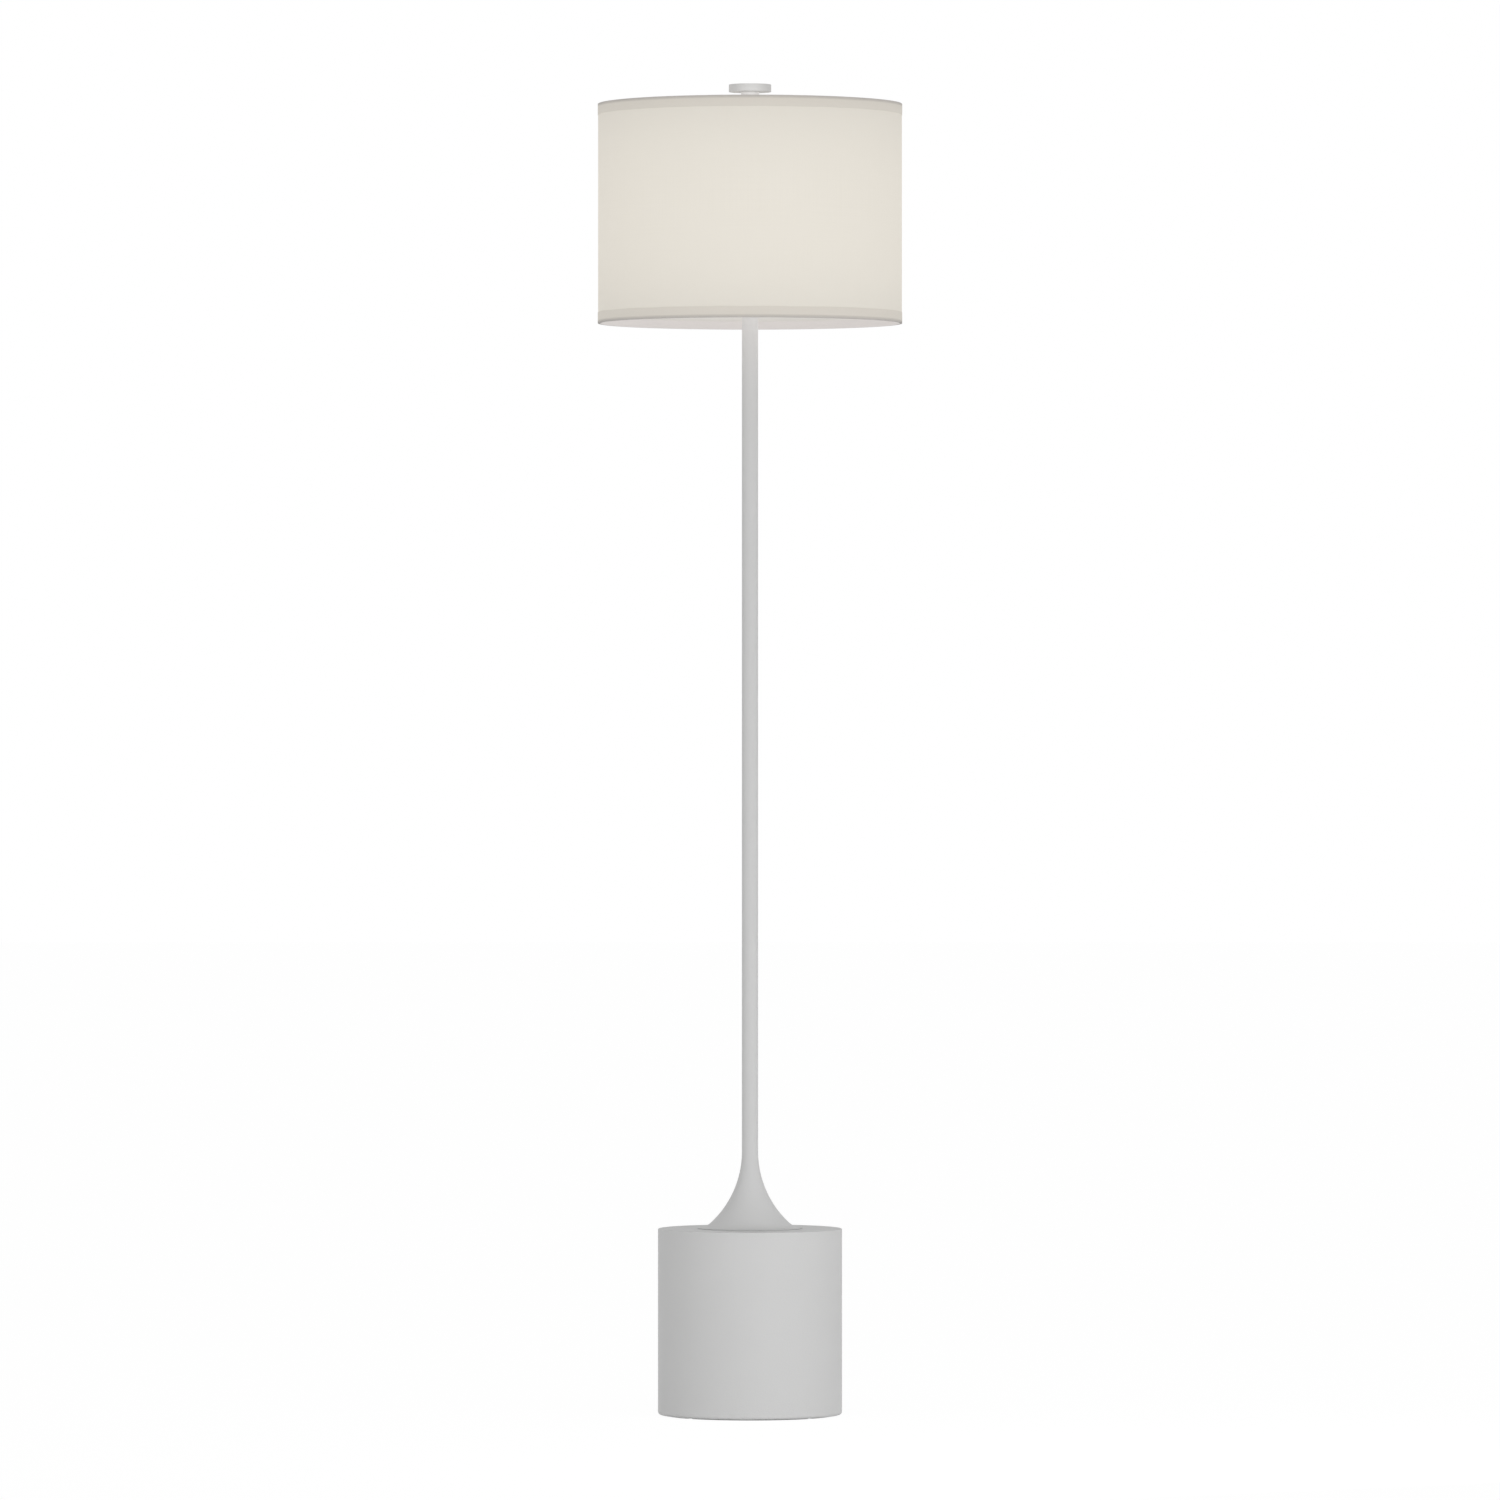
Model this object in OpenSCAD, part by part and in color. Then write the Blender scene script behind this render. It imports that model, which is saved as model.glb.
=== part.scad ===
// Column floor lamp: a weighted drum base, a flared collar, a slim column, and a cloth
// drum shade that hangs on a harp over one screw-base bulb.
// Millimetres, +Z up. The origin is on the floor, under the middle of the lamp.
// The cord gland and the shade's seam are at the back, towards +Y.

/* [Base] */
// Outer diameter of the base drum
drum_d = 216; // [200:1:240]
// Height of the base drum from its rim to its top
drum_h = 218; // [190:1:260]
// Thickness of the drum's sheet steel
drum_wall = 1.5; // [1:0.1:2.5]
// Rounding of the drum's top edge
drum_top_r = 1.2; // [0.6:0.1:3]
// Rounding of the drum's bottom edge
drum_foot_r = 3.5; // [2.6:0.1:6]
// Width of the flat lip turned in under the drum
drum_lip = 3; // [2:0.5:6]
// Height of the drum's rim above the floor
rim_gap = 1; // [0.5:0.1:1.5]
// Thickness of the felt pad under the base
pad_t = 3; // [2.6:0.1:4]
// Thickness of the bottom plate
plate_t = 2.5; // [1.5:0.1:4]
// Height of the cast ballast
ballast_h = 32; // [26:1:60]
// Number of screws that hold the bottom plate
screw_count = 4; // [3:1:6]

/* [Collar] */
// Height of the flared collar
flare_h = 90.5; // [80:0.5:100]
// Radius of the collar's long hollow curve
flare_arc_r = 114; // [105:1:130]
// Radius of the curve that meets the foot
foot_arc_r = 23; // [16:1:30]
// Thickness of the collar's foot at its edge
foot_edge_t = 1; // [0.8:0.1:2]

/* [Column] */
// Outer diameter of the column
pole_d = 19; // [18:0.5:24]
// Wall thickness of the column
pole_wall = 1.2; // [1:0.1:1.6]
// Length of the column tube
pole_h = 1001; // [700:1:1200]

/* [Shade] */
// Outer diameter of the shade's cloth
shade_d = 356.5; // [320:0.5:420]
// Height of the shade
shade_h = 256.6; // [230:0.1:262]
// Thickness of the cloth
cloth_t = 0.4; // [0.3:0.05:0.8]
// Thickness of the stiff liner behind the cloth
liner_t = 0.45; // [0.3:0.05:0.8]
// Width of the hem tape that shows outside
tape_h = 12.7; // [8:0.1:18]
// Thickness of the hem tape
tape_t = 0.35; // [0.2:0.05:0.6]
// Wire diameter of the rings and the spider's arms
ring_wire_d = 3.2; // [2.6:0.1:4]
// Drop of the spider's washer under the shade's top
spider_drop = 12.4; // [8:0.1:18]
// Number of spider arms
arm_count = 3; // [3:1:4]

/* [Harp] */
// Height of the harp from the ends of its legs to its top
harp_h = 186; // [180:1:210]
// Width of the harp's wire, from centre to centre
harp_w = 116; // [104:1:130]
// Diameter of the harp's wire
harp_wire_d = 3.4; // [3:0.1:3.6]
// Distance between the two locking sleeves
saddle_span = 60; // [56:1:66]
// Length of each locking sleeve
sleeve_h = 16; // [12:1:18]

/* [Finial] */
// Diameter of the finial's disc
finial_d = 49.7; // [40:0.1:60]
// Thickness of the finial's disc
finial_t = 8.7; // [5:0.1:12]
// Diameter of the finial's neck
finial_neck_d = 21; // [18:0.5:23]
// Length of the finial's neck
finial_neck_h = 27; // [24:0.5:36]

/* [Socket and bulb] */
// Outer diameter of the socket's shell
socket_d = 32.8; // [32.4:0.1:34]
// Height of the socket above its cup's floor
socket_h = 46; // [44:0.5:50]
// Distance from the lamp's axis to the knob's outer end
knob_reach = 40; // [36:1:46]
// Diameter of the switch knob
knob_d = 13; // [10:0.5:16]
// Diameter of the bulb's globe
bulb_d = 60; // [55:1:66]
// Length of the bulb from its contact to its tip
bulb_h = 108; // [100:1:116]

/* [Hidden] */
$fn = 72;

// Clearances
slip = 0.1;       // between a plug and its bore
thread_gap = 0.1; // between a plain-drawn screw and its plain-drawn hole
turn_gap = 0.05;  // between a shaft that turns and its bearing
rest_gap = 0.1;   // under a piece that lifts off
weld_gap = 0.05;  // between pieces that are glued, welded or rolled together
overcut = 1;      // how far a cutting shape runs past the face it cuts

// Lamp pipe, the hollow threaded rod used all through the lamp
pipe_r = 4.9;
pipe_bore_r = 3.4;
pipe_hole_r = pipe_r + thread_gap;
nut_flats = 15;
nut_r = nut_flats / 2 / cos(30);

// Wiring
lead_r = 1.25;
lead_offset = 1.35;
lead_bend = 4;
splice_r = 3.2;
splice_h = 18;
splice_offset = 3.6;
splice_hold = 8;

// Base
drum_r = drum_d / 2;
drum_in_r = drum_r - drum_wall;
drum_top_z = rim_gap + drum_h;
lip_in_r = drum_r - drum_foot_r - drum_lip;
plate_r = lip_in_r - 0.5;
plate_top_z = pad_t + plate_t;
pad_r = plate_r - 2;
bracket_reach = 10;
bracket_t = 1.5;
bracket_w = 14;
bracket_h = 14;
bracket_in_r = plate_r - bracket_reach;
bracket_out_x = sqrt(drum_in_r * drum_in_r - bracket_w * bracket_w / 4) - weld_gap;
screw_ring_r = plate_r - bracket_reach / 2 - 0.5;
screw_r = 2;
screw_head_r = 3.8;
screw_head_h = pad_t - 0.6;
screw_slot_w = 1;
ballast_r = bracket_in_r - 3;
ballast_top_z = plate_top_z + ballast_h;
splice_y = ballast_r - 4;
lead_low_z = plate_top_z + splice_r;
rod_low_z = lead_low_z + lead_bend + 0.5;
rod_tail = 2;
tie_nut_h = 6;
tie_washer_t = 2;
tie_washer_r = 15;
pocket_r = tie_washer_r + 2;
pocket_top_z = rod_low_z + rod_tail + tie_nut_h + tie_washer_t;
channel_w = 2 * (splice_offset + splice_r) + 2;
channel_top_z = plate_top_z + 12;
spacer_r = 11;
spacer_wall = 1.5;

// Cord gland, in the back of the drum
gland_bore_r = 3.6;
gland_barrel_r = 6;
gland_flange_r = 8.2;
gland_flange_t = 2;
gland_z = plate_top_z + gland_flange_r + 1.5;
gland_in_y = sqrt(drum_in_r * drum_in_r - gland_flange_r * gland_flange_r) - weld_gap;
gland_out_y = drum_r + weld_gap;

// Collar: two hollow curves that meet where they lean the same way
pole_r = pole_d / 2;
pole_bore_r = pole_r - pole_wall;
curve_h = flare_h - foot_edge_t;
join_h = foot_arc_r * (flare_arc_r - curve_h) / (flare_arc_r - foot_arc_r);
join_sin = (curve_h - join_h) / flare_arc_r;
join_cos = sqrt(1 - join_sin * join_sin);
join_r = pole_r + flare_arc_r * (1 - join_cos);
join_z = drum_top_z + foot_edge_t + join_h;
foot_r = join_r + foot_arc_r * join_cos;
neck_z = drum_top_z + flare_h;
shadow_gap_h = foot_edge_t / 2;
shadow_gap_w = 1.2;
bell_h = 50;
bell_foot_r = join_r - 1.5;
bell_top_r = pole_bore_r - 0.5;
plug_r = pole_bore_r - slip;
spigot_h = 14;
plug_h = 30;
rod_top_z = neck_z + plug_h / 2;

// Top of the column
pole_top_z = neck_z + pole_h;
cap_r = pole_r + 1.5;
cap_t = 3;
strip_t = 1.6;
strip_w = 12;
strip_z = pole_top_z + cap_t;
saddle_bend_r = 6;
saddle_washer_t = 0.8;
saddle_nut_h = 4;
saddle_nut_z = strip_z + strip_t + saddle_washer_t;
socket_z = saddle_nut_z + saddle_nut_h;
hub_h = 9;
nipple_tail = 20;
nipple_top_z = socket_z + hub_h;

// Saddle arms and harp legs: the arm's tab and the leg lie side by side in the sleeve
sleeve_x = saddle_span / 2;
sleeve_bore_r = 3.2;
sleeve_r = 4.1;
tab_x = sleeve_x - sleeve_bore_r + 0.6;
tab_w = 3;
tab_h = 10;
shoulder_h = 22;
leg_gap = 0.5;
shoulder_z = strip_z + shoulder_h;
leg_x = tab_x + strip_t + rest_gap + harp_wire_d / 2;
leg_z = shoulder_z + leg_gap;
leg_straight = 2 * sleeve_h;
harp_top_z = leg_z + harp_h;
harp_eye_t = harp_wire_d;
harp_eye_r = 5.5;
harp_mid_z = harp_top_z - harp_eye_t / 2;
wide_z = leg_z + 108;
leg_pull = 24;
side_pull = 34;
crown_pull = 44;

// Swivel stud on the harp
stud_shank_r = 2.2;
stud_head_r = 3.6;
stud_head_t = 1.2;
stud_flange_r = 6;
stud_flange_t = 2;
stud_thread_r = 3.15;
stud_thread_h = 14;
washer_z = harp_top_z + turn_gap + stud_flange_t;

// Shade
washer_t = 1.5;
washer_r = finial_neck_d / 2 + 2.5;
washer_bore_r = stud_thread_r + 0.3;
washer_top_z = washer_z + rest_gap + washer_t;
shade_top_z = washer_top_z + spider_drop;
shade_low_z = shade_top_z - shade_h;
cloth_r = shade_d / 2;
liner_r = cloth_r - cloth_t - weld_gap;
liner_in_r = liner_r - liner_t;
ring_r = ring_wire_d / 2;
ring_mid_r = liner_in_r - weld_gap - ring_r;
ring_inset = weld_gap + ring_r;
tape_r = cloth_r + weld_gap;
tape_in_r = ring_mid_r - ring_r - weld_gap;
arm_in_r = washer_r - 1.5;
arm_in_z = washer_top_z - washer_t / 2;
arm_reach = ring_mid_r - arm_in_r;
arm_rise = shade_top_z - ring_inset - arm_in_z;
tape_fold_h = 9;
seam_w = 12;
seam_t = 0.3;
back = 90;

// Finial
finial_z = washer_top_z;
insert_r = 6;
insert_h = 17;
finial_hole_h = insert_h + 2;
finial_edge = 0.4;

// Socket
socket_r = socket_d / 2;
shell_wall = 0.6;
fibre_wall = 0.6;
cup_wall = 0.8;
cup_bore_r = socket_r + slip;
cup_r = cup_bore_r + cup_wall;
hub_r = 7.6;
cup_floor_z = socket_z + hub_h + cup_wall;
cup_rim_h = 10;
socket_top_z = cup_floor_z + socket_h;
fibre_r = socket_r - shell_wall - weld_gap;
fibre_in_r = fibre_r - fibre_wall;
block_r = fibre_in_r - slip;
block_foot_h = 4;
block_z = cup_floor_z + block_foot_h;
block_h = 19.5;
block_top_z = block_z + block_h;
block_flat_x = 10.6;
block_flat_h = 12;
terminal_z = block_z + 6;
terminal_head_r = 2.8;
terminal_head_t = 1.8;
lead_side_x = block_flat_x + lead_r + 0.35;
lead_cross_z = block_z - block_foot_h / 2;
set_screw_r = 1.5;
set_screw_proud = 0.8;
set_screw_z = socket_z + hub_h / 2 - 1;

// Switch
shaft_r = 1.9;
shaft_z = block_z + 13;
shaft_depth = 8;
shaft_hole_r = shaft_r + 0.6;
knob_h = 15;
knob_flutes = 18;
flute_r = 0.6;
flute_out = 0.1;
knob_taper_h = 4;
knob_edge = 1;
knob_grip = 9;

// Screw base: rounded threads of one pitch, in the socket and on the bulb
thread_pitch = 3.63;
thread_turns = 4;
thread_depth = 0.45;
bulb_thread_r = 13.1;
screw_wall = 0.4;
screw_shell_r = bulb_thread_r + 0.2;
screw_low_z = block_top_z + 3;
screw_top_z = screw_low_z + thread_pitch * thread_turns + 1.5;
contact_h = 2.2;
contact_r = 3;
bulb_z = block_top_z + contact_h + rest_gap;
bulb_contact_r = 3.4;
bulb_contact_h = 1;
insulator_h = 4;
insulator_r = bulb_thread_r - thread_depth;
cap_low_z = bulb_z + bulb_contact_h + insulator_h;
cap_h = 22;
cap_wall = 0.35;
glass_t = 0.9;
glass_neck_r = bulb_thread_r - thread_depth - cap_wall - weld_gap;
glass_low_z = cap_low_z + thread_pitch * thread_turns;
glass_neck_z = cap_low_z + cap_h + 0.5;
globe_low_angle = 34;
bulb_r = bulb_d / 2;
bulb_mid_z = bulb_z + bulb_h - bulb_r;
stem_r = 4.2;
filament_r = 1;
filament_h = 30;
filament_ring_r = 8;
filament_count = 4;
stem_top_z = bulb_mid_z + 14;

// ---------- helpers ----------

function unit(v) = v / norm(v);
function along(p, i) = unit(p[min(i + 1, len(p) - 1)] - p[max(i - 1, 0)]);
function square_to(u, t) = unit(u - (u * t) * t);
function hoop(c, t, u, r, n) =
    let (w = cross(t, u)) [for (k = [0 : n - 1]) c + r * (cos(360 * k / n) * u + sin(360 * k / n) * w)];

// The points of an arc, from angle a to angle b
function arc(c, r, a, b, n = 8) = [for (k = [0 : n]) let (g = a + (b - a) * k / n) c + r * [cos(g), sin(g)]];

// A cubic curve from a to d, pulled towards b and c, in n steps counted from the given one
function cubic(a, b, c, d, n, from = 0) = [for (k = [from : n]) let (t = k / n, s = 1 - t)
    s * s * s * a + 3 * s * s * t * b + 3 * s * t * t * c + t * t * t * d];

// A tube along the points p, with n sides; u is any direction square to its start
module tube_along(p, r, n, u) {
    last = len(p) - 1;
    sides = [for (i = [0 : last - 1], k = [0 : n - 1]) [i * n + k, i * n + (k + 1) % n]];
    hoops = [for (i = 0, w = square_to(u, along(p, 0)); i <= last;
        i = i + 1, w = square_to(w, along(p, min(i, last)))) each hoop(p[i], along(p, i), w, r, n)];
    polyhedron(hoops, concat(
        [[for (k = [0 : n - 1]) k]],
        [[for (k = [n - 1 : -1 : 0]) last * n + k]],
        [for (s = sides) [s[0], s[0] + n, s[1]]],
        [for (s = sides) [s[1], s[0] + n, s[1] + n]]));
}

// A straight pipe standing on height z
module pipe(z, h, r, bore) {
    translate([0, 0, z]) difference() {
        cylinder(h = h, r = r);
        translate([0, 0, -overcut]) cylinder(h = h + 2 * overcut, r = bore);
    }
}

// A hexagon nut standing on height z
module hex_nut(z, h) {
    translate([0, 0, z]) difference() {
        cylinder(h = h, r = nut_r, $fn = 6);
        translate([0, 0, -overcut]) cylinder(h = h + 2 * overcut, r = pipe_hole_r);
    }
}

// Copies its children round the axis, starting at angle a
module ring_of(count, a = 0) {
    for (k = [0 : count - 1]) rotate(a + 360 * k / count) children();
}

// ---------- base ----------

module floor_pad() {
    color("dimgray") difference() {
        cylinder(h = pad_t, r = pad_r);
        ring_of(screw_count, 45)
            translate([screw_ring_r, 0, -overcut]) cylinder(h = pad_t + 2 * overcut, r = screw_head_r + 1);
    }
}

module bottom_plate() {
    color("gray") translate([0, 0, pad_t]) difference() {
        cylinder(h = plate_t, r = plate_r);
        ring_of(screw_count, 45)
            translate([screw_ring_r, 0, -overcut]) cylinder(h = plate_t + 2 * overcut, r = screw_r + 0.2);
    }
}

module plate_screws() {
    color("silver") ring_of(screw_count, 45) translate([screw_ring_r, 0, pad_t]) difference() {
        union() {
            translate([0, 0, -screw_head_h]) cylinder(h = screw_head_h, r = screw_head_r);
            cylinder(h = plate_t + bracket_t + 2, r = screw_r);
        }
        translate([-screw_head_r - overcut, -screw_slot_w / 2, -screw_head_h - overcut])
            cube([2 * (screw_head_r + overcut), screw_slot_w, overcut + screw_head_h / 2]);
    }
}

module plate_brackets() {
    color("darkgray") ring_of(screw_count, 45) difference() {
        union() {
            translate([bracket_in_r, -bracket_w / 2, plate_top_z])
                cube([bracket_out_x - bracket_in_r, bracket_w, bracket_t]);
            translate([bracket_out_x - bracket_t, -bracket_w / 2, plate_top_z])
                cube([bracket_t, bracket_w, bracket_h]);
        }
        translate([screw_ring_r, 0, plate_top_z - overcut])
            cylinder(h = bracket_t + 2 * overcut, r = screw_r + thread_gap);
    }
}

module ballast() {
    color("dimgray") difference() {
        translate([0, 0, plate_top_z]) cylinder(h = ballast_h, r = ballast_r);
        translate([0, 0, plate_top_z - overcut])
            cylinder(h = ballast_h + 2 * overcut, r = pipe_hole_r + slip);
        translate([0, 0, plate_top_z - overcut])
            cylinder(h = pocket_top_z - plate_top_z + overcut, r = pocket_r);
        translate([-channel_w / 2, 0, plate_top_z - overcut])
            cube([channel_w, ballast_r + overcut, channel_top_z - plate_top_z + overcut]);
    }
}

// Half of the drum's outline in section: a wall with a closed top and a lip turned in at the foot
module drum_outline() {
    inner_top_r = max(drum_top_r - drum_wall, 0.2);
    inner_foot_r = max(drum_foot_r - drum_wall, 0.2);
    outer = concat([[0, rim_gap]],
        arc([drum_r - drum_foot_r, rim_gap + drum_foot_r], drum_foot_r, -90, 0),
        arc([drum_r - drum_top_r, drum_top_z - drum_top_r], drum_top_r, 0, 90),
        [[0, drum_top_z]]);
    inner = concat([[0, rim_gap + drum_wall]],
        arc([drum_in_r - inner_foot_r, rim_gap + drum_wall + inner_foot_r], inner_foot_r, -90, 0),
        arc([drum_in_r - inner_top_r, drum_top_z - drum_wall - inner_top_r], inner_top_r, 0, 90),
        [[0, drum_top_z - drum_wall]]);
    difference() {
        polygon(outer);
        polygon(inner);
        translate([-overcut, rim_gap - overcut]) square([lip_in_r + overcut, drum_wall + 2 * overcut]);
    }
}

module base_drum() {
    color("gainsboro") difference() {
        rotate_extrude() drum_outline();
        translate([0, 0, drum_top_z - drum_wall - overcut])
            cylinder(h = drum_wall + 2 * overcut, r = pipe_hole_r + slip);
        translate([0, 0, gland_z]) rotate([-90, 0, 0])
            translate([0, 0, drum_in_r - 2 * overcut])
                cylinder(h = drum_wall + 4 * overcut, r = gland_barrel_r + slip);
    }
}

module spacer_tube() {
    color("silver")
        pipe(ballast_top_z, drum_top_z - drum_wall - ballast_top_z, spacer_r, spacer_r - spacer_wall);
}

module tie_rod() {
    color("silver") pipe(rod_low_z, rod_top_z - rod_low_z, pipe_r, pipe_bore_r);
}

module tie_washer() {
    color("silver") pipe(pocket_top_z - tie_washer_t, tie_washer_t, tie_washer_r, pipe_hole_r);
}

module tie_nut() {
    color("silver") hex_nut(rod_low_z + rod_tail, tie_nut_h);
}

module cord_gland() {
    color("whitesmoke") translate([0, 0, gland_z]) rotate([-90, 0, 0]) difference() {
        union() {
            translate([0, 0, gland_out_y]) cylinder(h = gland_flange_t, r = gland_flange_r);
            translate([0, 0, gland_in_y - gland_flange_t]) cylinder(h = gland_flange_t, r = gland_flange_r);
            translate([0, 0, gland_in_y - gland_flange_t])
                cylinder(h = gland_out_y - gland_in_y + 2 * gland_flange_t, r = gland_barrel_r);
        }
        translate([0, 0, gland_in_y - gland_flange_t - overcut])
            cylinder(h = gland_out_y - gland_in_y + 2 * gland_flange_t + 2 * overcut, r = gland_bore_r);
    }
}

// ---------- collar and column ----------

// Half of the collar's outline in section, from its foot up to the column
module collar_outline() {
    difference() {
        translate([0, drum_top_z]) square([foot_r, flare_h]);
        translate([foot_r, drum_top_z + foot_edge_t + foot_arc_r]) circle(foot_arc_r, $fn = 240);
        intersection() {
            translate([pole_r + flare_arc_r, neck_z]) circle(flare_arc_r, $fn = 360);
            translate([0, join_z]) square([foot_r + overcut, flare_h]);
        }
        translate([foot_r - shadow_gap_w, drum_top_z - overcut])
            square([shadow_gap_w + overcut, shadow_gap_h + overcut]);
    }
}

module flared_collar() {
    color("gainsboro") difference() {
        rotate_extrude() collar_outline();
        translate([0, 0, drum_top_z - overcut]) cylinder(h = flare_h + 2 * overcut, r = pipe_hole_r + slip);
        translate([0, 0, drum_top_z - overcut])
            cylinder(h = bell_h + overcut, r1 = bell_foot_r, r2 = bell_top_r);
        translate([0, 0, neck_z - spigot_h]) cylinder(h = spigot_h + overcut, r = pole_bore_r);
    }
}

module column_foot_plug() {
    color("silver") pipe(neck_z - spigot_h, spigot_h + plug_h, plug_r, pipe_hole_r);
}

module column_tube() {
    color("gainsboro") pipe(neck_z, pole_h, pole_r, pole_bore_r);
}

module column_top_plug() {
    color("silver") pipe(pole_top_z - plug_h, plug_h, plug_r, pipe_hole_r);
}

module top_nipple() {
    low_z = pole_top_z - nipple_tail;
    color("silver") pipe(low_z, nipple_top_z - low_z, pipe_r, pipe_bore_r);
}

module column_cap() {
    color("gainsboro") pipe(pole_top_z, cap_t, cap_r, pipe_hole_r);
}

// ---------- harp ----------

// The saddle's strip seen from the front: a flat middle and two arms bent up
module saddle_outline() {
    bend_z = strip_z + strip_t + saddle_bend_r;
    module cup(r, top) {
        x = tab_x - saddle_bend_r;
        polygon(concat(arc([-x, bend_z], r, 180, 270), arc([x, bend_z], r, 270, 360),
            [[x + r, top], [-x - r, top]]));
    }
    difference() {
        cup(saddle_bend_r + strip_t, shoulder_z);
        cup(saddle_bend_r, shoulder_z + overcut);
    }
}

module harp_saddle() {
    color("silver") difference() {
        union() {
            rotate([90, 0, 0]) translate([0, 0, -strip_w / 2]) linear_extrude(strip_w) saddle_outline();
            for (side = [0, 1]) mirror([side, 0, 0])
                translate([tab_x, -tab_w / 2, shoulder_z - overcut]) cube([strip_t, tab_w, tab_h + overcut]);
        }
        translate([0, 0, strip_z - overcut]) cylinder(h = strip_t + 2 * overcut, r = pipe_hole_r);
    }
}

module saddle_washer() {
    color("silver") pipe(strip_z + strip_t, saddle_washer_t, nut_flats / 2, pipe_hole_r);
}

module saddle_nut() {
    color("silver") hex_nut(saddle_nut_z, saddle_nut_h);
}

// The harp's right side: a straight leg, a bend out to the widest point, and a bend in to the eye
function harp_half() =
    let (up = [0, 0, 1], leg = [leg_x, 0, leg_z + leg_straight], side = [harp_w / 2, 0, wide_z])
    concat(
        [[leg_x, 0, leg_z]],
        cubic(leg, leg + leg_pull * up, side - side_pull * up, side, 10),
        cubic(side, side + crown_pull * up, [harp_w / 4, 0, harp_mid_z], [harp_eye_r, 0, harp_mid_z], 12, 1));

function flip_x(p) = [for (k = [len(p) - 1 : -1 : 0]) [-p[k][0], p[k][1], p[k][2]]];

module harp_frame() {
    color("silver") difference() {
        union() {
            tube_along(concat(harp_half(), flip_x(harp_half())), harp_wire_d / 2, 10, [0, 1, 0]);
            translate([0, 0, harp_top_z - harp_eye_t]) cylinder(h = harp_eye_t, r = harp_eye_r + 1);
        }
        translate([0, 0, harp_top_z - harp_eye_t - overcut])
            cylinder(h = harp_eye_t + 2 * overcut, r = stud_shank_r + turn_gap);
    }
}

module sleeve(x) {
    color("silver") translate([x, 0, 0]) pipe(shoulder_z + rest_gap, sleeve_h, sleeve_r, sleeve_bore_r);
}

module harp_stud() {
    color("silver") {
        translate([0, 0, harp_top_z - harp_eye_t - turn_gap - stud_head_t])
            cylinder(h = stud_head_t, r = stud_head_r);
        translate([0, 0, harp_top_z - harp_eye_t - turn_gap - stud_head_t])
            cylinder(h = stud_head_t + harp_eye_t + 3 * turn_gap, r = stud_shank_r);
        translate([0, 0, washer_z - stud_flange_t]) cylinder(h = stud_flange_t, r = stud_flange_r);
        translate([0, 0, washer_z - stud_flange_t])
            cylinder(h = stud_flange_t + washer_t + stud_thread_h, r = stud_thread_r);
    }
}

// ---------- socket and switch ----------

module socket_cup() {
    color("silver") difference() {
        rotate_extrude() polygon(concat(
            [[pipe_hole_r, socket_z], [hub_r, socket_z], [hub_r, socket_z + hub_h - 2]],
            arc([cup_r - 4, cup_floor_z + 2], 4, -70, 0, 6),
            [[cup_r, cup_floor_z + cup_rim_h], [cup_bore_r, cup_floor_z + cup_rim_h],
                [cup_bore_r, cup_floor_z], [pipe_hole_r, cup_floor_z]]));
        translate([0, 0, set_screw_z]) rotate([90, 0, 0])
            cylinder(h = hub_r + overcut, r = set_screw_r + thread_gap);
    }
}

module socket_set_screw() {
    color("gray") translate([0, 0, set_screw_z]) rotate([90, 0, 0]) difference() {
        translate([0, 0, pipe_hole_r]) cylinder(h = hub_r + set_screw_proud - pipe_hole_r, r = set_screw_r);
        translate([-set_screw_r - overcut, -0.25, hub_r]) cube([2 * (set_screw_r + overcut), 0.5, overcut]);
    }
}

// A hole for the switch shaft, drilled forwards from the axis
module shaft_hole(r, from = 0) {
    translate([0, 0, shaft_z]) rotate([90, 0, 0]) translate([0, 0, from]) cylinder(h = knob_reach, r = r);
}

module socket_shell() {
    color("silver") difference() {
        pipe(cup_floor_z, socket_h, socket_r, socket_r - shell_wall);
        shaft_hole(shaft_hole_r);
    }
}

module socket_liner() {
    color("tan") difference() {
        pipe(cup_floor_z, socket_h - 1, fibre_r, fibre_in_r);
        shaft_hole(shaft_hole_r);
    }
}

module switch_block() {
    color("darkslategray") difference() {
        union() {
            translate([0, 0, block_z]) cylinder(h = block_h, r = block_r);
            for (side = [-1, 1]) translate([0, side * (block_r - 4), cup_floor_z + block_foot_h / 2])
                cube([6, 3, block_foot_h], center = true);
        }
        for (side = [0, 1]) mirror([side, 0, 0])
            translate([block_flat_x, -block_r, block_z - overcut])
                cube([block_r, 2 * block_r, block_flat_h + overcut]);
        shaft_hole(shaft_r + turn_gap, block_r - shaft_depth);
    }
}

module terminal_screws() {
    color("goldenrod") for (side = [-1, 1]) translate([side * (block_flat_x + weld_gap), 0, terminal_z])
        rotate([0, side * 90, 0]) difference() {
            cylinder(h = terminal_head_t, r = terminal_head_r);
            translate([-terminal_head_r - overcut, -0.3, terminal_head_t - 0.7])
                cube([2 * (terminal_head_r + overcut), 0.6, overcut]);
        }
}

// Wavy section of a screw thread, from height z up, as [radius, height] points, six to a turn
function thread_points(z, crest, depth, turns) = [for (k = [0 : 6 * turns])
    [crest - depth / 2 * (1 + cos(60 * k)), z + thread_pitch * k / 6]];
function reversed(p) = [for (k = [len(p) - 1 : -1 : 0]) p[k]];

module screw_shell() {
    wave = thread_points(screw_low_z, screw_shell_r + thread_depth, thread_depth, thread_turns);
    inner = concat([[screw_shell_r, block_top_z]], wave, [[screw_shell_r, screw_top_z]]);
    color("silver") rotate_extrude() polygon(concat(inner, reversed([for (p = inner) p + [screw_wall, 0]])));
}

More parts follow.
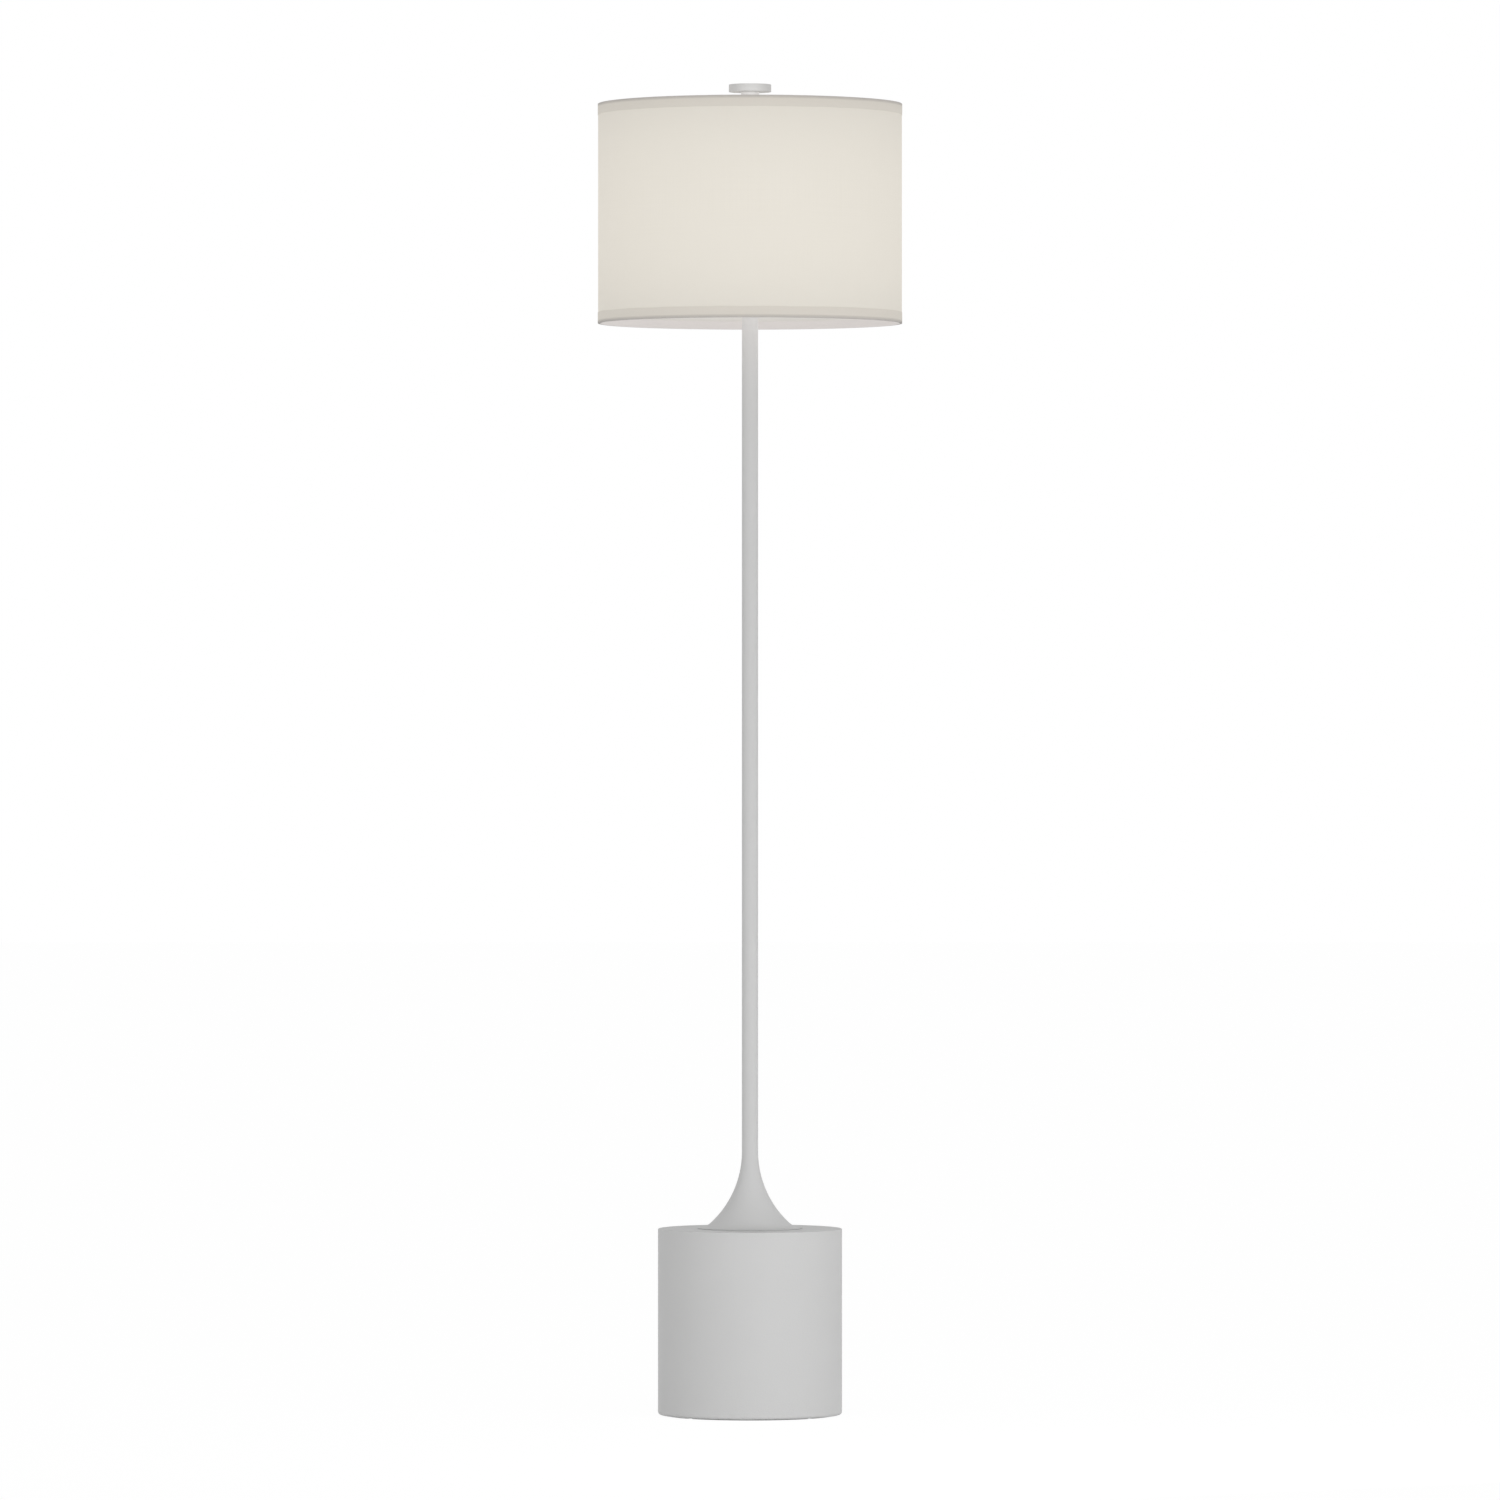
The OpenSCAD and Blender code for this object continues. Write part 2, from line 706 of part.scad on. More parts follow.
module centre_contact() {
    color("goldenrod") translate([0, 0, block_top_z]) {
        translate([-contact_r, -contact_r, 0]) cube([2 * contact_r, 2 * contact_r, 0.6]);
        cylinder(h = contact_h, r = contact_r - 1);
    }
}

module switch_shaft() {
    from = block_r - shaft_depth + rest_gap;
    to = knob_reach - knob_h + knob_grip - rest_gap;
    color("silver") translate([0, 0, shaft_z]) rotate([90, 0, 0]) translate([0, 0, from])
        cylinder(h = to - from, r = shaft_r);
}

module switch_knob() {
    knob_r = knob_d / 2;
    color("dimgray") translate([0, knob_h - knob_reach, shaft_z]) rotate([90, 0, 0]) difference() {
        union() {
            cylinder(h = knob_taper_h, r1 = knob_r - knob_taper_h / 2, r2 = knob_r);
            translate([0, 0, knob_taper_h]) cylinder(h = knob_h - knob_taper_h - knob_edge, r = knob_r);
            translate([0, 0, knob_h - knob_edge])
                cylinder(h = knob_edge, r1 = knob_r, r2 = knob_r - knob_edge);
        }
        translate([0, 0, -overcut]) cylinder(h = knob_grip + overcut, r = shaft_r + weld_gap);
        ring_of(knob_flutes) translate([knob_r + flute_out, 0, knob_taper_h + 1])
            cylinder(h = knob_h, r = flute_r, $fn = 24);
    }
}

// ---------- wiring ----------

// One lead: from its terminal, down the lamp pipe and the column, and back under the ballast
function lead_path(side) = concat(
    [[side * lead_side_x, 0, terminal_z - terminal_head_r - rest_gap],
        [side * lead_side_x, 0, block_z - 0.4],
        [side * (lead_side_x - 1.6), 0, lead_cross_z],
        [side * 4, 0, lead_cross_z],
        [side * 2, 0, lead_cross_z - 0.8],
        [side * lead_offset, 0, nipple_top_z - 2],
        [side * lead_offset, 0, rod_low_z]],
    [for (p = arc([lead_bend, lead_low_z + lead_bend], lead_bend, 180, 270, 6))
        [side * lead_offset, p[0], p[1]]],
    [[side * lead_offset, 12, lead_low_z],
        [side * splice_offset, 30, lead_low_z],
        [side * splice_offset, splice_y - splice_h + splice_hold - rest_gap, lead_low_z]]);

module lead(side, shade) {
    color(shade) tube_along(lead_path(side), lead_r, 8, [0, 1, 0]);
}

module splice_caps() {
    color("whitesmoke") for (side = [-1, 1])
        translate([side * splice_offset, splice_y, lead_low_z]) rotate([90, 0, 0]) difference() {
            cylinder(h = splice_h, r = splice_r - weld_gap);
            translate([0, 0, splice_h - splice_hold]) cylinder(h = splice_hold + overcut, r = lead_r + slip);
        }
}

// ---------- bulb ----------

// Half of the globe in section, set in by the depth d: a pear that ends at height z in the cap
function globe_points(d, z) =
    let (side = [cos(globe_low_angle), -sin(globe_low_angle)], p = [0, bulb_mid_z] + (bulb_r - d) * side)
    concat(
        [[0, bulb_mid_z + bulb_r - d]],
        arc([0, bulb_mid_z], bulb_r - d, 80, -globe_low_angle, 16),
        cubic(p, p + 15 * [side[1], -side[0]], [glass_neck_r - d, glass_neck_z + 10],
            [glass_neck_r - d, glass_neck_z], 9, 1),
        [[glass_neck_r - d, z], [0, z]]);

module bulb_globe() {
    color("white", 0.8) difference() {
        rotate_extrude() polygon(globe_points(0, glass_low_z));
        rotate_extrude() polygon(globe_points(glass_t, glass_low_z - overcut));
    }
}

module bulb_cap() {
    wave = thread_points(cap_low_z, bulb_thread_r, thread_depth, thread_turns);
    inner_r = bulb_thread_r - thread_depth - cap_wall;
    color("silver") rotate_extrude() polygon(concat([[inner_r, cap_low_z]], wave,
        [[bulb_thread_r, cap_low_z + thread_pitch * thread_turns + 1], [bulb_thread_r, cap_low_z + cap_h],
            [inner_r, cap_low_z + cap_h]]));
}

module bulb_insulator() {
    color("black") translate([0, 0, bulb_z + bulb_contact_h])
        cylinder(h = insulator_h, r1 = bulb_contact_r + 2, r2 = insulator_r);
}

module bulb_contact() {
    color("silver") translate([0, 0, bulb_z])
        cylinder(h = bulb_contact_h, r1 = bulb_contact_r - 1, r2 = bulb_contact_r);
}

module bulb_stem() {
    color("white", 0.5) {
        translate([0, 0, cap_low_z]) cylinder(h = 14, r1 = glass_neck_r - glass_t - 0.5, r2 = stem_r);
        translate([0, 0, cap_low_z]) cylinder(h = stem_top_z - cap_low_z, r = stem_r);
    }
}

module bulb_filaments() {
    color("gold") {
        ring_of(filament_count) {
            translate([filament_ring_r, 0, stem_top_z - filament_h]) cylinder(h = filament_h, r = filament_r);
            translate([stem_r + weld_gap, -filament_r / 2, stem_top_z - filament_h])
                cube([filament_ring_r - stem_r, filament_r, filament_r]);
        }
    }
}

// ---------- shade ----------

// The wire ring of the shade at height z
module wire_ring(z) {
    rotate_extrude() translate([ring_mid_r, z]) circle(ring_r);
}

// The spider's arms, thickened by grow, from the washer up to the inside of the top ring
module spider_arms(grow = 0) {
    ring_of(arm_count, back) translate([arm_in_r, 0, arm_in_z]) rotate([0, atan2(arm_reach, arm_rise), 0])
        cylinder(h = norm([arm_reach, arm_rise]) - ring_r - weld_gap, r = ring_r + grow);
}

module spider() {
    color("white") difference() {
        union() {
            translate([0, 0, washer_top_z - washer_t]) cylinder(h = washer_t, r = washer_r);
            spider_arms();
        }
        translate([0, 0, washer_top_z - washer_t - overcut])
            cylinder(h = washer_t + 2 * overcut, r = washer_bore_r);
    }
}

module top_ring() {
    color("white") wire_ring(shade_top_z - ring_inset);
}

module bottom_ring() {
    color("white") wire_ring(shade_low_z + ring_inset);
}

module shade_liner() {
    color("white") pipe(shade_low_z, shade_h, liner_r, liner_in_r);
}

module shade_cloth() {
    color("ivory") pipe(shade_low_z, shade_h, cloth_r, cloth_r - cloth_t);
}

module shade_seam() {
    half = asin(seam_w / 2 / cloth_r);
    low = shade_low_z + tape_h + weld_gap;
    color("ivory") rotate(back - half) rotate_extrude(angle = 2 * half)
        translate([tape_r, low]) square([seam_t, shade_h - 2 * (tape_h + weld_gap)]);
}

// Section of the tape that wraps the shade's top edge; the bottom one is its mirror image
module tape_outline() {
    translate([tape_r, -tape_h]) square([tape_t, tape_h + weld_gap + tape_t]);
    translate([tape_in_r - tape_t, weld_gap]) square([tape_r - tape_in_r + 2 * tape_t, tape_t]);
    translate([tape_in_r - tape_t, -tape_fold_h]) square([tape_t, tape_fold_h + weld_gap + tape_t]);
}

module top_hem_tape() {
    color("linen") difference() {
        translate([0, 0, shade_top_z]) rotate_extrude() tape_outline();
        spider_arms(slip);
    }
}

module bottom_hem_tape() {
    color("linen") translate([0, 0, shade_low_z]) rotate_extrude() mirror([0, 1]) tape_outline();
}

// ---------- finial ----------

module finial() {
    disc_z = finial_z + finial_neck_h;
    disc_r = finial_d / 2;
    color("gainsboro") difference() {
        union() {
            translate([0, 0, finial_z]) cylinder(h = finial_neck_h, r = finial_neck_d / 2);
            translate([0, 0, disc_z]) rotate_extrude() polygon(concat(
                [[0, 0]],
                arc([disc_r - finial_edge, finial_edge], finial_edge, -90, 0, 4),
                arc([disc_r - finial_edge, finial_t - finial_edge], finial_edge, 0, 90, 4),
                [[0, finial_t]]));
        }
        translate([0, 0, finial_z - overcut]) cylinder(h = finial_hole_h + overcut, r = insert_r + weld_gap);
    }
}

module finial_insert() {
    color("goldenrod") pipe(finial_z, insert_h, insert_r, stud_thread_r + thread_gap);
}

floor_pad();
bottom_plate();
plate_screws();
plate_brackets();
ballast();
base_drum();
spacer_tube();
tie_rod();
tie_washer();
tie_nut();
cord_gland();
flared_collar();
column_foot_plug();
column_tube();
column_top_plug();
top_nipple();
column_cap();
harp_saddle();
saddle_washer();
saddle_nut();
socket_cup();
socket_set_screw();
socket_shell();
socket_liner();
switch_block();
terminal_screws();
screw_shell();
centre_contact();
switch_shaft();
switch_knob();
lead(1, "black");  // live_lead
lead(-1, "white");  // neutral_lead
splice_caps();
bulb_globe();
bulb_cap();
bulb_insulator();
bulb_contact();
bulb_stem();
bulb_filaments();
harp_frame();
sleeve(-sleeve_x);  // left_sleeve
sleeve(sleeve_x);  // right_sleeve
harp_stud();
spider();
top_ring();
bottom_ring();
shade_liner();
shade_cloth();
shade_seam();
top_hem_tape();
bottom_hem_tape();
finial();
finial_insert();
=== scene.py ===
# %% [markdown]
# # A column floor lamp, dressed piece by piece
# The lamp is a weighted steel drum with a flared collar, a slim steel column, and a linen drum
# shade that hangs on a wire harp over one bulb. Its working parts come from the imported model,
# which stays as it is. This lesson gives each of them a finish, and models anew what a solid
# can't show well: cloth, felt, round wire, rolled threads, nuts and a fluted knob.

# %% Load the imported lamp
import math
from contextlib import contextmanager

import bmesh
import bpy
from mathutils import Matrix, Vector, noise


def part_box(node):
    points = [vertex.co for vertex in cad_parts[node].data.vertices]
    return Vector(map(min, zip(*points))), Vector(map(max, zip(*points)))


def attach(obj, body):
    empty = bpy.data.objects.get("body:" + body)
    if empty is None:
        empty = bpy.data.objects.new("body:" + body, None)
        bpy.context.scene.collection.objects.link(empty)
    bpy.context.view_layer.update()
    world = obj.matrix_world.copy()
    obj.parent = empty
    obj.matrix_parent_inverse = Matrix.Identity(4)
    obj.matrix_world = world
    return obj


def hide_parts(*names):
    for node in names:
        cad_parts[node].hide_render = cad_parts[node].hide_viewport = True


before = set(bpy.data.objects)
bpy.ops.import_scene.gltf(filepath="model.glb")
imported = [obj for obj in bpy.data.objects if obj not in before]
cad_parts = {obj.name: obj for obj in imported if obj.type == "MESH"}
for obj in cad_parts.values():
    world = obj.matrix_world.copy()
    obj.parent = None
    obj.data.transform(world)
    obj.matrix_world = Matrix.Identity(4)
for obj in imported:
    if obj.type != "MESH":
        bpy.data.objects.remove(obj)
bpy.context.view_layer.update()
MM = 0.001

# %% [markdown]
# ## The camera
# The lamp was photographed level and from far away with a long lens, so its sides stay upright.
# The shade's near rim curves up and the drum's foot curves down by only a few pixels, which
# puts the camera twelve metres off and at half the lamp's height.

# %% Place the camera
CAMERA_AWAY, CAMERA_UP = 12.2, 0.7805  # metres from the lamp's axis and above the floor
LENS, FARTHEST = 249.5, 100

bpy.ops.object.select_all(action="DESELECT")
bpy.ops.object.camera_add(location=(0, -CAMERA_AWAY, CAMERA_UP),
                          rotation=(math.radians(90), 0, 0))
camera = bpy.context.object
camera.name = "studio_camera"
camera.data.lens = LENS
camera.data.clip_end = FARTHEST
bpy.context.scene.camera = camera
print("camera at", tuple(round(v, 3) for v in camera.location), "lens", camera.data.lens)

# %% [markdown]
# ## Writing shader maths in Python
# A procedural finish is a sum of patterns: noise, waves and masks. Wiring every Math node by
# hand hides the sum, so an output socket is wrapped in a small class whose operators add the
# nodes. Colours don't go through Math nodes, which would turn them grey, but through Mix nodes.

# %% The wrapper for sockets
class Wire:
    """An output socket that can stand in a sum; each operator adds one Math node."""

    def __init__(self, board, socket):
        self.board, self.socket = board, socket

    def __add__(self, other):
        return self.board.maths("ADD", self, other)

    def __sub__(self, other):
        return self.board.maths("SUBTRACT", self, other)

    def __rsub__(self, other):
        return self.board.maths("SUBTRACT", other, self)

    def __mul__(self, other):
        return self.board.maths("MULTIPLY", self, other)

    def __truediv__(self, other):
        return self.board.maths("DIVIDE", self, other)


    def __lt__(self, other):
        return self.board.maths("LESS_THAN", self, other)

    def __abs__(self):
        return self.board.maths("ABSOLUTE", self)

    def sine(self):
        return self.board.maths("SINE", self)

    def clipped(self):
        return self.board.maths("ADD", self, 0.0, use_clamp=True)


# %% The board that holds a node tree
class Board:
    """A node tree that is wired up one node at a time."""

    def __init__(self, owner):
        owner.use_nodes = True
        self.tree = owner.node_tree
        self.tree.nodes.clear()

    def node(self, kind, settings=None, inputs=None, out=0):
        """Adds a node, sets it up, fills or links its inputs and returns one output."""
        made = self.tree.nodes.new(kind)
        for name, value in (settings or {}).items():
            setattr(made, name, value)
        for name, value in (inputs or {}).items():
            if isinstance(value, Wire):
                self.tree.links.new(value.socket, made.inputs[name])
            else:
                made.inputs[name].default_value = value
        return Wire(self, made.outputs[out]) if made.outputs else made

    def maths(self, operation, *values, **settings):
        """One Math node."""
        return self.node("ShaderNodeMath", {"operation": operation, **settings},
                         dict(enumerate(values)))

    def split(self, vector, axes):
        """The parts of a vector along some of its axes."""
        return [self.node("ShaderNodeSeparateXYZ", inputs={0: vector}, out=axis) for axis in axes]

    def blend(self, share, first, second):
        """Mixes two colours by a share."""
        return self.node("ShaderNodeMix", {"data_type": "RGBA"},
                         {0: share, 6: first, 7: second}, out=2)


# %% [markdown]
# ## Light
# The lamp stands in a plain white studio. The world gives soft light from all sides, weaker
# from above and behind than from the front. A soft lamp low at the right makes the left side of
# the drum a little darker, one higher up fills the shade, and a narrow spot lifts the finial.
# What the camera, glossy and glass rays see is white at a strength of 1, so the background is
# white with no more light on the lamp itself.

# %% Studio world
def seen_directly(board):
    """1 for the rays that only look: from the camera, off gloss and through glass."""
    path = [board.node("ShaderNodeLightPath", out=name)
            for name in ("Is Camera Ray", "Is Glossy Ray", "Is Transmission Ray")]
    return (path[0] + path[1] + path[2]).clipped()


WHITE = (1, 1, 1, 1)
WORLD_SIDE, WORLD_TOP, WORLD_FRONT = 1.20, 0.24, 0.17  # level at the sides, above, more in front

world = bpy.data.worlds.new("studio_world")
bpy.context.scene.world = world
sky = Board(world)
back, up = sky.split(sky.node("ShaderNodeTexCoord", out="Generated"), "YZ")
level = WORLD_SIDE - abs(up) * (WORLD_SIDE - WORLD_TOP) - back * WORLD_FRONT
ambient = sky.node("ShaderNodeBackground", inputs={"Color": WHITE, "Strength": level})
backdrop = sky.node("ShaderNodeBackground", inputs={"Color": WHITE, "Strength": 1.0})
mixed = sky.node("ShaderNodeMixShader", inputs={0: seen_directly(sky), 1: ambient, 2: backdrop})
sky.node("ShaderNodeOutputWorld", inputs={"Surface": mixed})
bpy.context.scene.view_settings.view_transform = "Standard"
print("world nodes:", len(sky.tree.nodes))

# %% Floor
FLOOR_SHADOW = 0.08  # how much of the floor's own shading the camera sees
FLOOR_GLOW = 1.035  # makes up for that share, so that the open floor comes out white
FLOOR_TONE, FLOOR_SIZE = (0.9, 0.9, 0.9, 1), 60
FLOOR_Z = -0.2 * MM  # just under the felt

bpy.ops.object.select_all(action="DESELECT")
bpy.ops.mesh.primitive_plane_add(size=FLOOR_SIZE, location=(0, 0, FLOOR_Z))
floor = bpy.context.object
floor.name = "studio_floor"
floor_paint = bpy.data.materials.new("floor_paint")
board = Board(floor_paint)
lit = board.node("ShaderNodeBsdfDiffuse", inputs={"Color": FLOOR_TONE})
glow = board.node("ShaderNodeEmission", inputs={"Color": WHITE, "Strength": FLOOR_GLOW})
seen = seen_directly(board) * (1 - FLOOR_SHADOW)
mixed = board.node("ShaderNodeMixShader", inputs={0: seen, 1: lit, 2: glow})
board.node("ShaderNodeOutputMaterial", inputs={"Surface": mixed})
floor.data.materials.append(floor_paint)

# %% Lamps
def lamp_at(kind, name, place, aim, power):
    """A lamp at a place, turned towards the point aim; gives back its settings."""
    bpy.ops.object.select_all(action="DESELECT")
    bpy.ops.object.light_add(type=kind, location=place)
    lamp = bpy.context.object
    lamp.name = name
    lamp.rotation_euler = (Vector(aim) - Vector(place)).to_track_quat("-Z", "Y").to_euler()
    lamp.data.energy = power
    return lamp.data


def softbox(name, place, aim, size, power):
    """A square area lamp."""
    lamp_at("AREA", name, place, aim, power).size = size


def spot(name, place, aim, reach, power):
    """A narrow lamp whose light fades out at the distance reach from its aim."""
    beam = lamp_at("SPOT", name, place, aim, power)
    beam.spot_size, beam.spot_blend = 2 * math.atan(reach / math.dist(place, aim)), 1.0
    beam.shadow_soft_size = reach / 3


softbox("key_softbox", (0.65, -1.15, 0.3), (0, 0, 0.12), 0.9, 4.1)
softbox("high_softbox", (0.12, -2.0, 1.7), (0, 0, 1.47), 0.7, 3.1)
spot("finial_spot", (0.2, -1.9, 1.62), (0, 0, 1.5495), 0.022, 30)

# %% [markdown]
# ## A finish
# Every finish reads object coordinates, in metres, or on cloth the piece's own map in metres,
# so a pattern keeps its real size. The next class adds what most finishes share: where a point
# is, soft noise, a bump and the shader itself.

# %% The finish class
class Finish(Board):
    """A material named after its slot in the record."""

    def __init__(self, slot):
        self.slot = slot
        self.material = bpy.data.materials.new(slot + "_finish")
        super().__init__(self.material)

    def place(self, source="Object"):
        """Where a point is, in metres."""
        return self.node("ShaderNodeTexCoord", out=source)

    def cloud(self, size, detail=2):
        """Noise whose patches are about size metres across, from about -1 to 1."""
        fog = self.node("ShaderNodeTexNoise", inputs={
            "Vector": self.place(), "Scale": 1 / size, "Detail": detail})
        return (fog - 0.5) * 3

    def bump(self, height, depth):
        """A Normal from a height between -1 and 1, depth metres deep."""
        return self.node("ShaderNodeBump", inputs={
            "Height": height, "Distance": depth, "Strength": 1.0})

    def shade(self, **sockets):
        """Fills a Principled shader, where base_color stands for Base Color, and so on."""
        named = {name.replace("_", " ").title().replace("Ior", "IOR"): value
                 for name, value in sockets.items()}
        surface = self.node("ShaderNodeBsdfPrincipled", inputs=named)
        self.node("ShaderNodeOutputMaterial", inputs={"Surface": surface})
        return self


def colour(red, green, blue):
    """A colour with its alpha."""
    return (red, green, blue, 1)


def tones(middle, spread):
    """A darker and a lighter tone on each side of a colour."""
    return [colour(*(c * (1 + side * spread) for c in middle)) for side in (-1, 1)]


UNLIT = colour(0, 0, 0)
finishes = {}


def keep(finish):
    """Files a finish under its slot."""
    finishes[finish.slot] = finish
    print("finish:", finish.slot, "nodes:", len(finish.tree.nodes))


# %% [markdown]
# ## Powder coat
# The drum, collar, column and disc finial carry the same pale grey powder coat. Powder melts
# into a skin with a very fine orange peel, matt, with hardly any change of tone. So the peel is
# a shallow bump under a millimetre wide, and a wide cloud moves the tone by about one percent.
# The bulb's light that spills out of the shade is painted into the coat as a glow: down the
# column, where it fades within a hand's breadth, and up onto the finial's neck.

# %% Make the powder coat
PAINT_TONE = (0.612, 0.612, 0.610)
SPILL_LIGHT = colour(0.215, 0.204, 0.20)
SPILL_LOW, SPILL_REACH = 1.171, 0.11  # where the light on the column ends, and its length
NECK_SHARE = 0.8  # how much of that light reaches the finial's neck
NECK_R, DISC_T = 10.7 * MM, 8.6 * MM  # just wider than the neck, just thinner than the disc
finial_low, finial_top = (corner.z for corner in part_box("finial"))

paint = Finish("painted_steel")
x, y, z = paint.split(paint.place(), "XYZ")
on_column = z < finial_low
fade = ((z - SPILL_LOW) / SPILL_REACH).clipped()
on_neck = (1 - on_column) * (z < finial_top - DISC_T) * (x * x + y * y < NECK_R ** 2)
# spill is painted light: the coat glows where the bulb's light would fall on it
spill = on_column * fade * fade + on_neck * NECK_SHARE
peel = paint.cloud(0.9 * MM) + paint.cloud(2.6 * MM) * 0.5
tone = (paint.cloud(90 * MM, 3) * 0.5 + 0.5).clipped()
keep(paint.shade(
    base_color=paint.blend(tone, *tones(PAINT_TONE, 0.012)),
    roughness=(peel * 0.04 + 0.5).clipped(),
    emission_color=paint.blend(spill.clipped(), UNLIT, SPILL_LIGHT),
    emission_strength=1.0,
    normal=paint.bump(peel, 0.05 * MM),
    specular_ior_level=0.15))

# %% [markdown]
# ## Linen
# The shade is off-white linen, a plain weave with threads half a millimetre apart. Some threads
# are thicker for a few centimetres, and those slubs run up and round the shade. The map of the
# cloth is in metres, u round the shade and v up it. The bulb's light through the cloth is painted
# as a glow, most at the bulb's height and a little less where a slub stops the light.

# %% Weave and slubs
THREAD = 0.55 * MM
ALONG, ACROSS = 9, 1500  # changes per metre along a slub, and from one slub to the next


def weave(finish, turn=0.0):
    """A plain weave's height, 0 in its gaps and 1 on its threads, and slubs from about -1 to 1."""
    here = finish.place("UV")
    if turn:
        here = finish.node("ShaderNodeMapping", inputs={"Vector": here, "Rotation": (0, 0, turn)})
    waves = [(way * (math.pi / THREAD)).sine() for way in finish.split(here, "XY")]
    warp, weft = (abs(wave) for wave in waves)
    warp_on_top = (waves[0] * waves[1] * 3 + 0.5).clipped()
    height = (warp_on_top * warp * (weft * 0.5 + 0.5)
              + (1 - warp_on_top) * weft * (warp * 0.5 + 0.5))
    slubs = 0
    for stretch in ((ALONG, ACROSS, 1), (ACROSS, ALONG, 1)):
        streak = finish.node("ShaderNodeVectorMath", {"operation": "MULTIPLY"},
                             {0: here, 1: stretch})
        fog = finish.node("ShaderNodeTexNoise",
                          inputs={"Vector": streak, "Scale": 1.0, "Detail": 2})
        slubs = (fog - 0.5) * 1.5 + slubs
    return height, slubs


# %% Light through the cloth
GLOW_Z = 1.409  # height at which the shade is brightest
GLOW_FALL = 11.5  # how fast it dims away from there, per square metre
THREAD_STOPS, SLUB_STOPS = 0.18, 0.10  # share of the light that a thread and a slub stop


def lamplight(finish, fall=GLOW_FALL):
    """Share of the bulb's light at a point's height: 1 at the bulb, less above and below."""
    away = finish.split(finish.place(), "Z")[0] - GLOW_Z
    return (1 - away * away * fall).clipped()


def woven(slot, tone, light, turn=0.0, rims=None):
    """Linen of a tone, through which light of a colour comes; rims may change both."""
    cloth = Finish(slot)
    height, slubs = weave(cloth, turn)
    # painted light: this glow stands for the bulb's light coming through the cloth
    through = lamplight(cloth) * (1.10 - height * THREAD_STOPS) * (1 - slubs * SLUB_STOPS)
    light = colour(*light)
    # the tone is darker in the weave's gaps, painted shade between the threads; the slubs' tone is
    # the cloth's own
    skin = cloth.blend((slubs * 0.4 + height * 0.5 + 0.2).clipped(), *tones(tone, 0.15))
    if rims:
        through, light, skin = rims(cloth, through, light, skin)
    return cloth.shade(
        base_color=skin,
        roughness=(slubs * 0.04 + 0.85).clipped(),
        specular_ior_level=0.2,
        sheen_weight=0.1,
        emission_color=cloth.blend(through.clipped(), UNLIT, light),
        emission_strength=1.0,
        normal=cloth.bump(height + slubs * 0.5, 0.16 * MM))


# %% Make the linen, and the same where it lies double at the seam
LINEN_TONE, LINEN_LIGHT = (0.375, 0.37, 0.355), (0.518, 0.481, 0.415)
# where the cloth lies double, its painted glow is SEAM_SHARE of the linen's
SEAM_SHARE = 0.80

keep(woven("linen", LINEN_TONE, LINEN_LIGHT))
doubled = woven("linen", LINEN_TONE, [part * SEAM_SHARE for part in LINEN_LIGHT])
doubled.material.name = "linen_doubled_finish"

# %% [markdown]
# ## Hem tape
# The tape is the same cloth cut on the bias, so its threads cross at 45 degrees. It lies double
# over the drum, so its painted glow is weaker, and it has none where the wire ring lies behind
# it, a painted shadow of the ring; there its tone is painted paler to make up in part for the
# lost glow. Its fold inside glows with painted light that stands for the bulb's own light on it.

# %% Make the hem tape
TAPE_TONE, TAPE_LIGHT = (0.37, 0.343, 0.325), (0.432, 0.412, 0.358)
# INSIDE_LIGHT is painted light on the fold inside; RIM_TONE is the paler tone under the ring's
# painted shadow
INSIDE_LIGHT, RIM_TONE = colour(0.53, 0.508, 0.50), colour(0.60, 0.57, 0.54)
SHADE_MIDDLE, RIM_REACH = 1.40975, 0.1287  # height of the shade's middle, and from it to a rim
RING_SHADE = 0.004  # how wide the ring's shadow is at the rim
INSIDE_R = 0.1757  # what lies within this radius is the tape's fold inside


def past_the_ring(tape, through, light, skin):
    """Painted shadow of the ring at the rim, with a paler tone there; painted bulb light inside."""
    x, y, z = tape.split(tape.place(), "XYZ")
    clear = ((RIM_REACH - abs(z - SHADE_MIDDLE)) / RING_SHADE).clipped()
    inside = x * x + y * y < INSIDE_R ** 2
    lit = (clear + inside).clipped()
    bare = 1 - lit
    return (through * lit, tape.blend(inside, light, INSIDE_LIGHT),
            tape.blend(bare * bare, skin, RIM_TONE))


keep(woven("hem_tape", TAPE_TONE, TAPE_LIGHT, math.pi / 4, past_the_ring))

# %% [markdown]
# ## The liner
# Behind the cloth is a thin, stiff plastic film that keeps the drum round. From below one sees
# its inner face, smooth and a little grey next to the cloth, with a painted glow that stands
# for the bulb's light on it.

# %% Make the liner
LINER_TONE, LINER_LIGHT = (0.60, 0.59, 0.57), colour(0.442, 0.427, 0.407)
LINER_FALL = 33.0  # its light dims faster than the cloth's, which scatters it

liner = Finish("liner")
haze = (liner.cloud(40 * MM, 3) * 0.5 + 0.5).clipped()
keep(liner.shade(
    base_color=liner.blend(haze, *tones(LINER_TONE, 0.015)),
    roughness=(liner.cloud(5 * MM) * 0.05 + 0.5).clipped(),
    # painted light: the liner glows where the bulb's light would fall on it
    emission_color=liner.blend(lamplight(liner, LINER_FALL), UNLIT, LINER_LIGHT),
    emission_strength=1.0,
    normal=liner.bump(liner.cloud(3 * MM), 0.01 * MM)))

# %% [markdown]
# ## Bare metals
# Zinc shows as flat crystals, and nickel, brass and aluminium as polished metal that is a
# little cloudy, with a very fine grain. One function makes all of them from a tone, a
# roughness, a grain size and a grain depth.

